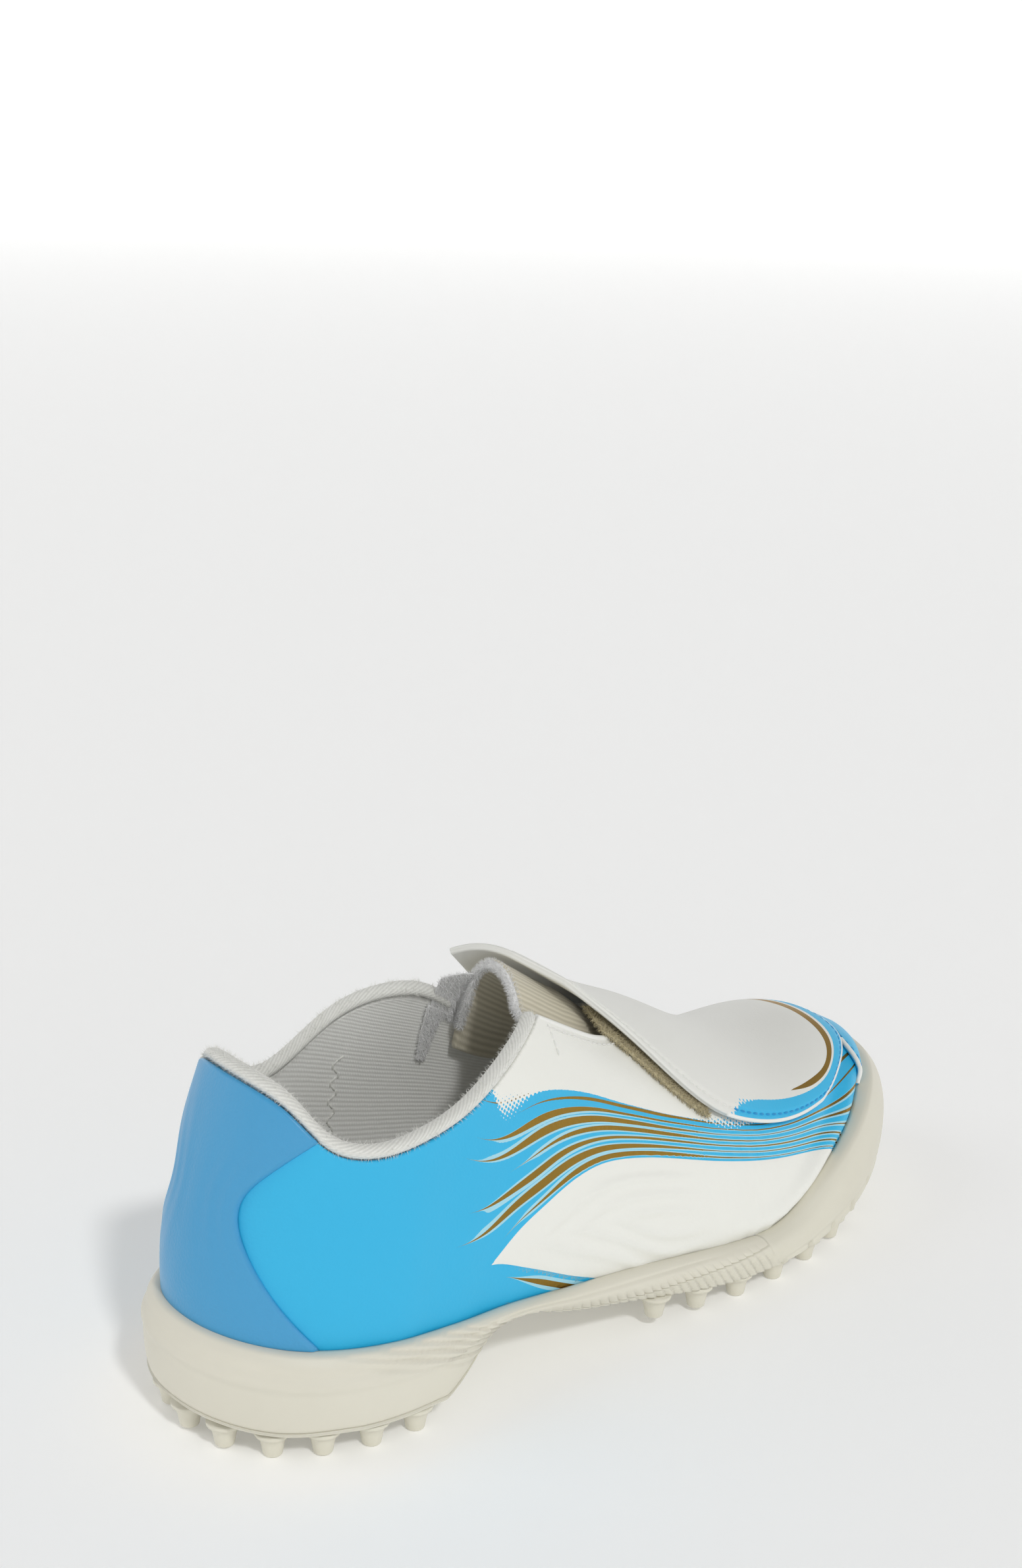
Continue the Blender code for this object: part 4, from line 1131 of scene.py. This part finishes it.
# Velvet: pale and soft, brighter where it is seen along its nap.
velvet, tree, shader = start_material("silver_velvet", "#D0D0CE", 0.6)
shader.inputs["Sheen Weight"].default_value = 0.8
velvet_place = node(tree, "ShaderNodeTexCoord").outputs["Object"]
nap = node(tree, "ShaderNodeTexNoise", {"Vector": velvet_place, "Scale": 1500.0, "Detail": 3.0})
nap_colour = node(
    tree, "ShaderNodeMix", {0: nap.outputs[0], 6: linear("#C4C4C2"), 7: linear("#FFFFFF")}, data_type="RGBA"
)
tree.links.new(nap_colour.outputs[2], shader.inputs["Base Color"])
nap_bump = node(tree, "ShaderNodeBump", {"Height": nap.outputs[0], "Strength": 0.5, "Distance": 0.2 * MM})
tree.links.new(nap_bump.outputs[0], shader.inputs["Normal"])

fuzz_tree, fuzz_in, fuzz_out = node_tree(
    "fuzz", (("Density", "Float"), ("Length", "Float"), ("Thickness", "Float"), ("Fibre", "Material"))
)
fuzz_points = node(
    fuzz_tree,
    "GeometryNodeDistributePointsOnFaces",
    {"Mesh": fuzz_in.outputs["Geometry"], "Density": fuzz_in.outputs["Density"], "Seed": 7},
)
fibre = node(
    fuzz_tree,
    "GeometryNodeMeshCone",
    {
        "Vertices": 3,
        "Radius Top": 0.0,
        "Radius Bottom": fuzz_in.outputs["Thickness"],
        "Depth": fuzz_in.outputs["Length"],
    },
)
fuzz_lean = node(
    fuzz_tree, "FunctionNodeRandomValue", {0: (-0.7, -0.7, 0.0), 1: (0.7, 0.7, 6.3), "Seed": 3},
    data_type="FLOAT_VECTOR",
)
fuzz_turn = node(
    fuzz_tree,
    "FunctionNodeRotateRotation",
    {0: fuzz_points.outputs["Rotation"], 1: fuzz_lean},
    rotation_space="LOCAL",
)
fuzz_set = node(
    fuzz_tree,
    "GeometryNodeInstanceOnPoints",
    {"Points": fuzz_points, "Instance": fibre, "Rotation": fuzz_turn},
)
finish_tree(fuzz_tree, fuzz_out, fuzz_set, fuzz_in.outputs["Fibre"])


def fuzz(name, piece, density, length, thickness, material, slot):
    """Fibres that stand up from a piece, so many a square metre, as a piece of their own. They are
    drawn much thicker than real fibre, so that they show."""
    fibres = grow(
        name,
        piece.data,
        fuzz_tree,
        {"Density": density, "Length": length, "Thickness": thickness, "Fibre": material},
    )
    settle(fibres, slot)


def cord_piece(name, line, out, radii, material, sides=12):
    """A closed tube along a line of points. radii are across and along the out direction."""
    ahead = np.gradient(line, axis=0)
    ahead /= np.linalg.norm(ahead, axis=1, keepdims=True)
    out = out - ahead * np.sum(out * ahead, 1, keepdims=True)
    out /= np.linalg.norm(out, axis=1, keepdims=True)
    cross = np.cross(ahead, out)
    turn = np.linspace(0, 2 * math.pi, sides, endpoint=False)[:, None]
    rings = line[:, None] + cross[:, None] * radii[0] * np.cos(turn) + out[:, None] * radii[1] * np.sin(turn)
    faces = grid_faces(len(line), sides, closed=True)
    faces += [list(range(sides)), list(range((len(line) - 1) * sides, len(line) * sides))]
    return make_piece(name, [rings], faces, [material])


rear = CORNER_STATION + CORNER_CLEAR
rim_across = np.linspace(-0.86, 0.86, 140)
rim_side = np.where(rim_across < 0, OUTER, INNER)
rim_open = 1 - edge_share(np.full(140, rear), rim_side)
rim_reach = rim_open + TONGUE_TUCK
rim_bulge = np.maximum(0, 1 - (abs(rim_across) * rim_reach / (rim_open * TONGUE_FREE)) ** 2)
rim_under = -WALL - TONGUE_GAP - TONGUE_THICKNESS + rim_bulge * (WALL + TONGUE_GAP + TONGUE_SWELL)
rim_share = 1 - abs(rim_across) * rim_reach
rim_line = on_last(rear - 0.0004, rim_side, rim_share, rim_under + 0.35 * TONGUE_THICKNESS)
rim_out = last_normal(np.full(140, rear), rim_side, rim_share)
binding = cord_piece("tongue_binding", rim_line, rim_out, (0.8 * BINDING_RADIUS, BINDING_RADIUS), velvet)
settle(binding, "tongue_knit")
fuzz("tongue_binding_nap", binding, 1.4e7, 0.9 * MM, 0.07 * MM, velvet, "tongue_knit")
rise = np.linspace(0, 1, 60)[:, None]
span = np.linspace(0, 1, 20)
FACING_STATION, FACING_LOW = 0.378, 0.36
for label, facing_side in (("outer", OUTER), ("inner", INNER)):
    facing_station = FACING_STATION + 0.012 * rise - (0.010 + 0.012 * rise**0.8) * span
    top_share = edge_share(facing_station, facing_side) - 0.012
    facing_share = FACING_LOW + (top_share - FACING_LOW) * rise
    facing = sheet(
        "facing_" + label,
        on_last(facing_station, facing_side, facing_share, -WALL - 0.30 * MM),
        on_last(facing_station, facing_side, facing_share, -WALL - 0.75 * MM),
        [velvet],
        {},
        reach=0.1 * MM,
    )
    settle(facing, "collar_knit")
    fuzz("facing_nap_" + label, facing, 1.0e7, 0.8 * MM, 0.07 * MM, velvet, "collar_knit")
GUSSET_START = 0.372
gusset_station = np.linspace(GUSSET_START, CORNER_STATION + 0.007, 40)[:, None]
behind_corner = np.minimum(gusset_station, CORNER_STATION - 0.001)
gusset_low = edge_share(behind_corner, np.full((1, 1), INNER)) - 0.035
gusset_high = np.interp(gusset_station, (0.36, CORNER_STATION), (0.64, 0.80))
gusset_high = np.maximum(gusset_high, gusset_low + 0.02)
gusset_share = gusset_low + (gusset_high - gusset_low) * np.linspace(0, 1, 30)
gusset = sheet(
    "gusset",
    on_last(gusset_station, INNER, gusset_share, -WALL - 0.10 * MM),
    on_last(gusset_station, INNER, gusset_share, -WALL - 0.35 * MM),
    [velvet],
    {},
    reach=0.1 * MM,
)
settle(gusset, "tongue_knit")
fuzz("gusset_nap", gusset, 0.6e7, 0.8 * MM, 0.07 * MM, velvet, "tongue_knit")
fuzz("collar_fuzz", band, 1.6e6, 1.1 * MM, 0.045 * MM, band_knit, "collar_knit")

# Throat edge
# Thin white tape folded over the edge of the throat on both sides and stitched through beside it.
TAPE_RADIUS = 0.75 * MM
# Coated tape: soft white, with a faint grain that keeps its highlights low.
tape = grained("white_tape", "#F1F1EC", 0.5)[0]
for label, tape_side in (("outer", OUTER), ("inner", INNER)):
    tape_station = np.linspace(CORNER_STATION + 0.001, THROAT_END - 0.004, 90)
    tape_edge = edge_share(tape_station, tape_side)
    tape_line = on_last(tape_station, tape_side, tape_edge, -0.45 * SKIN)
    tape_out = last_normal(tape_station, np.full(90, tape_side), tape_edge)
    tape_radii = (TAPE_RADIUS, 1.15 * TAPE_RADIUS)
    tape_piece = cord_piece("throat_tape_" + label, tape_line, tape_out, tape_radii, tape)
    settle(tape_piece, "upper_synthetic")

# Cover flap
# Two bonded layers of off-white synthetic leather over the throat: sewn down with blue thread
# round the toe box, free at the rear, and closed on the outer side by a touch fastener.
FLAP_THICKNESS = 1.9 * MM
FLAP_LIFT = 3.0 * MM
FLAP_REAR, FLAP_SKEW, FLAP_FRONT, FLAP_FRONT_ROUND = 0.425, 0.035, 0.945, 0.125
FLAP_RUN, FLAP_HALF = 100, 42  # its length and half width in millimetres, for margins along its edges
FLAP = table(
    "along outer inner lift",
    [
        (0.00, 0.84, 0.72, 1.00),
        (0.15, 0.74, 0.62, 0.76),
        (0.30, 0.57, 0.52, 0.52),
        (0.45, 0.455, 0.46, 0.26),
        (0.60, 0.425, 0.43, 0.05),
        (0.80, 0.420, 0.42, 0.00),
        (1.00, 0.440, 0.44, 0.00),
    ],
)


def flap_place(along, across):
    """A point of the flap: along from its rear edge to its front seam, across from -1 to 1."""
    side = np.where(across < 0, OUTER, INNER)
    rear = FLAP_REAR - FLAP_SKEW * across
    front = FLAP_FRONT - FLAP_FRONT_ROUND * abs(across) ** 4.5
    edge = np.where(side < 0, FLAP["outer"](along), FLAP["inner"](along))
    return rear + (front - rear) * along, side, 1 - abs(across) * (1 - edge)


def flap_lift(along, across):
    """Height of the flap's underside over the last."""
    return FLAP["lift"](along) * FLAP_LIFT * (0.45 + 0.55 * across**2) + 2 * GAP


along = np.linspace(0, 1, 210)[:, None]
across = np.sin(np.linspace(-math.pi / 2, math.pi / 2, 191)) * 0.35 + np.linspace(-1, 1, 191) * 0.65
place = flap_place(along, across)
low = flap_lift(along, across)
from_front = (1 - along) * FLAP_RUN * MM + 0 * across
from_side = (1 - abs(across)) * FLAP_HALF * MM + 0 * along
margin = np.minimum(np.minimum(from_front, from_side), along * FLAP_RUN * MM + 0 * across)
pressed = 0.35 * MM * (1 - smooth(margin / (2.6 * MM)))
channel = 0.22 * MM * np.exp(-(((margin - 1.5 * MM) / (0.45 * MM)) ** 2))
dent = 0.25 * MM * np.sin(9 * along + 3 * across) * np.sin(4 * across - 5 * along)
flap_white, tree, shader, _ = grained("flap_synthetic_leather", "#E8E8E2", 0.45)
CORNER_SOFT = 3.2  # millimetres over which the printed band rounds the flap's corners
near_edge = np.exp(-from_front / MM / CORNER_SOFT) + np.exp(-from_side / MM / CORNER_SOFT)
inward = -CORNER_SOFT * np.log(near_edge)
BAND_WIDE, STRIPE_IN, STRIPE_HALF = 5.6, 7.8, 1.15  # millimetres
band_in = np.minimum(BAND_WIDE - inward, (along - 0.50) * FLAP_RUN)
taper = smooth((0.98 - abs(across + 0.38)) / 0.5) * smooth((along - 0.68) / 0.16)
stripe = abs(inward - STRIPE_IN) - STRIPE_HALF * taper
field = {}
for label in ("band", "fade", "stripe"):
    field[label] = node(tree, "ShaderNodeAttribute", attribute_name=label).outputs["Fac"]
place_node = node(tree, "ShaderNodeTexCoord").outputs["Object"]
in_band = halftone(tree, place_node, field["band"], field["fade"])
in_stripe = node(tree, "ShaderNodeMath", {0: field["stripe"], 1: 0.0}, operation="LESS_THAN")
white_or_blue = node(
    tree, "ShaderNodeMix", {0: in_band, 6: linear("#E8E8E2"), 7: linear(SKY)}, data_type="RGBA"
)
flap_colour = node(
    tree,
    "ShaderNodeMix",
    {0: in_stripe, 6: white_or_blue.outputs[2], 7: linear(GOLD_FOIL)},
    data_type="RGBA",
)
tree.links.new(flap_colour.outputs[2], shader.inputs["Base Color"])
tree.links.new(in_stripe.outputs[0], shader.inputs["Metallic"])
flap = sheet(
    "flap",
    on_last(*place, low + FLAP_THICKNESS - pressed - channel + dent * smooth(margin / (12 * MM))),
    on_last(*place, low),
    [flap_white],
    {
        "band": band_in,
        "fade": 0.15 + 6.0 * np.exp(-(((along - 0.50) / 0.05) ** 2)),
        "stripe": stripe,
    },
    rim=(0.7, 1.0, 0.1, 1.0, 0.7),
)
settle(flap, "flap_synthetic", "flap")
PIPING_RADIUS = 0.55 * MM
piping_along = np.concatenate((np.linspace(0.50, 1, 90)[:-1], np.ones(200), np.linspace(1, 0.50, 90)[1:]))
piping_across = np.concatenate((np.full(89, -1.0), np.linspace(-1, 1, 200), np.full(89, 1.0)))
piping_at = flap_place(piping_along, piping_across)
piping_line = on_last(*piping_at, flap_lift(piping_along, piping_across) + 0.55 * FLAP_THICKNESS)
piping_out = last_normal(*piping_at)
piping = cord_piece("flap_piping", piping_line, piping_out, (PIPING_RADIUS, PIPING_RADIUS), tape)
settle(piping, "flap_synthetic")

# Stitches
# Lockstitch of thick blue thread round the flap's sewn front, and of white thread along its free
# edges and the throat, pulled down a little into the leather. Pale zigzags close the lining.
STITCH_PITCH = 2.1 * MM
STITCH_RADIUS = 0.24 * MM
stitch_shape = bpy.data.meshes.new("stitch")
stitch_bm = bmesh.new()
bmesh.ops.create_uvsphere(stitch_bm, u_segments=8, v_segments=6, radius=1.0)
for vert in stitch_bm.verts:
    vert.co = Vector((vert.co.z * 0.78 * MM, vert.co.x * STITCH_RADIUS, vert.co.y * STITCH_RADIUS))
bmesh.ops.recalc_face_normals(stitch_bm, faces=stitch_bm.faces)
stitch_bm.to_mesh(stitch_shape)
stitch_bm.free()
stitch_object = bpy.data.objects.new("stitch_shape", stitch_shape)
seam_tree, seam_in, seam_out = node_tree(
    "stitches", (("Shape", "Object"), ("Pitch", "Float"), ("Thread", "Material"))
)
seam_curve = node(seam_tree, "GeometryNodeMeshToCurve", {0: seam_in.outputs["Geometry"]})
seam_even = node(
    seam_tree,
    "GeometryNodeResampleCurve",
    {"Curve": seam_curve, "Length": seam_in.outputs["Pitch"]},
    mode="LENGTH",
)
seam_along = node(seam_tree, "GeometryNodeInputTangent")
seam_turn = node(seam_tree, "FunctionNodeAlignRotationToVector", {"Vector": seam_along}, axis="X")
seam_shape = node(seam_tree, "GeometryNodeObjectInfo", {"Object": seam_in.outputs["Shape"]})
seam_set = node(
    seam_tree,
    "GeometryNodeInstanceOnPoints",
    {"Points": seam_even, "Instance": seam_shape.outputs["Geometry"], "Rotation": seam_turn},
)
finish_tree(seam_tree, seam_out, seam_set, seam_in.outputs["Thread"])


def thread(name, colour):
    """Twisted polyester thread: slightly glossy, with the twist's fine ribs across it."""
    made, tree, shader = start_material(name, colour, 0.5)
    place = node(tree, "ShaderNodeTexCoord").outputs["Object"]
    twist = node(tree, "ShaderNodeTexNoise", {"Vector": place, "Scale": 2600.0})
    bump = node(tree, "ShaderNodeBump", {"Height": twist.outputs[0], "Strength": 0.4, "Distance": 0.05 * MM})
    tree.links.new(bump.outputs[0], shader.inputs["Normal"])
    return made


blue_thread, white_thread = thread("blue_thread", "#2497D3"), thread("white_thread", "#E9E9E4")


def sew(name, points, material, slot, pitch=STITCH_PITCH):
    """A row of stitches along the points."""
    seam = grow(
        name,
        point_mesh(name + "_line", points, True),
        seam_tree,
        {"Shape": stitch_object, "Pitch": pitch, "Thread": material},
    )
    seam.data.shade_smooth()
    settle(seam, slot)


def on_flap(along, across, lift):
    """A point of the flap's top face."""
    along, across = np.broadcast_arrays(along, across)
    return on_last(*flap_place(along, across), flap_lift(along, across) + FLAP_THICKNESS + lift)


SEAM_IN = 1.5  # millimetres in from the flap's edge
THREAD_SINK = 0.3 * MM
side_across, front_along = 1 - SEAM_IN / FLAP_HALF, 1 - SEAM_IN / FLAP_RUN
outer_run, inner_run = np.linspace(0.52, front_along, 60), np.linspace(front_along, 0.52, 60)
front_run = np.linspace(-side_across, side_across, 160)
front_seam = np.concatenate(
    (
        on_flap(outer_run, -side_across, -THREAD_SINK),
        on_flap(front_along, front_run, -THREAD_SINK)[1:-1],
        on_flap(inner_run, side_across, -THREAD_SINK),
    )
)
sew("flap_front_stitches", front_seam, blue_thread, "flap_synthetic")
free_along = np.linspace(0.50, 0.02, 60)
sew("flap_edge_stitches", on_flap(free_along, -side_across, -THREAD_SINK), white_thread, "flap_synthetic")
rear_run = np.linspace(-side_across, side_across, 80)
sew("flap_rear_stitches", on_flap(SEAM_IN / FLAP_RUN, rear_run, -THREAD_SINK), white_thread, "flap_synthetic")
FINE_PITCH = 1.7 * MM
SEAM_START, SEAM_END = CORNER_STATION + 0.012, 0.57
for label, seam_side in (("outer", OUTER), ("inner", INNER)):
    seam_station = np.linspace(SEAM_START, SEAM_END, 80)
    seam_share = edge_share(seam_station, seam_side) - 0.030
    seam_points = on_last(seam_station, seam_side, seam_share, 0.05 * MM)
    sew("throat_stitches_" + label, seam_points, white_thread, "upper_synthetic", FINE_PITCH)
    down = np.linspace(0.030, 0.11, 20)
    corner_share = edge_share(np.full(20, SEAM_START), seam_side) - down
    corner_points = on_last(SEAM_START, seam_side, corner_share, 0.05 * MM)
    sew("corner_stitches_" + label, corner_points, white_thread, "upper_synthetic", FINE_PITCH)

ZIGZAG_PITCH = 1.5 * MM
ZIGZAG_LOW, ZIGZAG_HIGH, ZIGZAG_STATION, ZIGZAG_SWING = 0.14, 0.35, 0.267, 0.005
pale_thread = thread("pale_thread", "#E2E2DC")
zigzag_share = np.arange(ZIGZAG_LOW, ZIGZAG_HIGH, ZIGZAG_PITCH / SECTION)
zigzag_station = ZIGZAG_STATION + ZIGZAG_SWING * (-1.0) ** np.arange(len(zigzag_share))
for label, seam_side in (("outer", OUTER), ("inner", INNER)):
    zigzag = on_last(zigzag_station, seam_side, zigzag_share, -WALL - 0.05 * MM)
    sew("lining_zigzag_" + label, zigzag, pale_thread, "collar_knit", 1.35 * MM)

# Fastener pad
# Beige loop pad of the touch fastener, sewn on the outer quarter under the flap's edge.
PAD_SPAN = (0.14, 0.44)
PAD_REACH = 0.10
PAD_THICKNESS = 1.0 * MM
SHEET_GAP = 0.4 * MM
# Knitted loop pile: dull and fuzzy, because its loops scatter the light.
pile, tree, shader = start_material("loop_pile", "#B9AE8C", 0.95)
shader.inputs["Sheen Weight"].default_value = 0.4
along = np.linspace(*PAD_SPAN, 60)[:, None]
station, side, edge = flap_place(along, np.full((1, 1), -1.0))
share = edge + PAD_REACH * np.linspace(-0.3, 1, 40)
station, side, share = np.broadcast_arrays(station, side, share)
pad = sheet(
    "fastener_pad",
    on_last(station, side, share, SHEET_GAP + PAD_THICKNESS * 0.7),
    on_last(station, side, share, SHEET_GAP),
    [pile],
    {"along": station * SOLE_LENGTH / MM},
)
settle(pad, "loop_pad", "fastener_pad")
fuzz("fastener_pile", pad, 1.1e7, 1.0 * MM, 0.10 * MM, pile, "loop_pad")

# Heel counter
# Satin blue synthetic leather with a stiffener behind it, cemented round the heel. Its front edges
# point back like the tip of a wedge.
COUNTER_THICKNESS = 0.9 * MM
COUNTER = table(
    "height reach", [(0, 0.076), (0.22, 0.036), (0.4, 0.015), (0.55, 0.014), (0.72, 0.030), (1, 0.062)]
)
height = np.linspace(0, 1, 80)[:, None]
across = np.linspace(-1, 1, 121)
side = np.where(across < 0, OUTER, INNER)
station = abs(across) ** 1.6 * COUNTER["reach"](height)
low = share_at_height(station, side, wall_top(station) + GAP)
share = low + (edge_share(station, side) - low) * height
station, side, share = np.broadcast_arrays(station, side, share)
counter_blue = grained("counter_synthetic_leather", "#46A0D2", 0.34, 0.45)[0]
bevel = 0.5 * MM * (1 - smooth((1 - abs(across)) / 0.04)) + 0 * height
folds = 0.05 * MM * np.sin(19 * across + 2) * np.sin(3 * height) * smooth((1 - abs(across)) / 0.3)
counter = sheet(
    "heel_counter",
    on_last(station, side, share, SHEET_GAP + COUNTER_THICKNESS - bevel + folds),
    on_last(station, side, share, SHEET_GAP - 0.3 * MM),
    [counter_blue],
    {"up": height * 50.0 + 0 * across},
)
settle(counter, "counter_synthetic", "heel_counter")

# Toe cap
# Sky-blue synthetic leather in front of the flap's seam and down to the sole's wall, edged with
# thin white piping and sewn with blue thread.
TOE_CAP_THICKNESS = 0.9 * MM
TOE_CAP_CLEAR = 0.008
TOE_CAP_FOOT = (0.92, 0.88)
TOE_CAP_TOP = (0.60, 0.75)
SEAM_COLUMN, SEAM_ROW = 5, 4  # of the cap's grid, where its stitches run
low_tip, high_tip = 0.95, 1.0
for _ in range(30):
    tip = (low_tip + high_tip) / 2
    if last_curve(tip, OUTER, 1.0)[2] > wall_top(tip) + 2 * GAP:
        low_tip = tip
    else:
        high_tip = tip
height = np.linspace(0, 1, 90)[:, None]
across = np.linspace(-1, 1, 161)
side = np.where(across < 0, OUTER, INNER)
foot = low_tip - abs(across) ** 1.6 * (low_tip - np.where(across < 0, *TOE_CAP_FOOT))
top, _, top_share = flap_place(np.ones((1, 1)), across * np.where(across < 0, *TOE_CAP_TOP))
top, top_share = top + TOE_CAP_CLEAR, top_share - TOE_CAP_CLEAR
low = share_at_height(foot, side, wall_top(foot) + GAP)
station, share = foot + (top - foot) * height, low + (top_share - low) * height
station, side, share = np.broadcast_arrays(station, side, share)
toe_blue = grained("toe_cap_synthetic_leather", SKY, 0.36)[0]
cap_low = SHEET_GAP + lasted_roll(station, side, share)
toe_cap = sheet(
    "toe_cap",
    on_last(station, side, share, cap_low + TOE_CAP_THICKNESS),
    on_last(station, side, share, cap_low - 0.3 * MM),
    [toe_blue],
    {"up": height * 15.0 + 0 * across},
)
settle(toe_cap, "toe_cap_synthetic", "toe_cap")
for label, column in (("outer", 0), ("inner", -1)):
    cap_side = side[0, column]
    cap_rise = cap_low[:, column] + 0.6 * TOE_CAP_THICKNESS
    cap_line = on_last(station[:, column], cap_side, share[:, column], cap_rise)
    cap_out = last_normal(station[:, column], np.full(len(station), cap_side), share[:, column])
    cap_piping = cord_piece("toe_piping_" + label, cap_line, cap_out, (PIPING_RADIUS, PIPING_RADIUS), tape)
    settle(cap_piping, "toe_cap_synthetic")
    inset = SEAM_COLUMN if column == 0 else -SEAM_COLUMN - 1
    seam_rise = cap_low[SEAM_ROW:, inset] + 0.9 * TOE_CAP_THICKNESS
    seam_line = on_last(station[SEAM_ROW:, inset], cap_side, share[SEAM_ROW:, inset], seam_rise)
    sew("toe_stitches_" + label, seam_line, blue_thread, "toe_cap_synthetic")
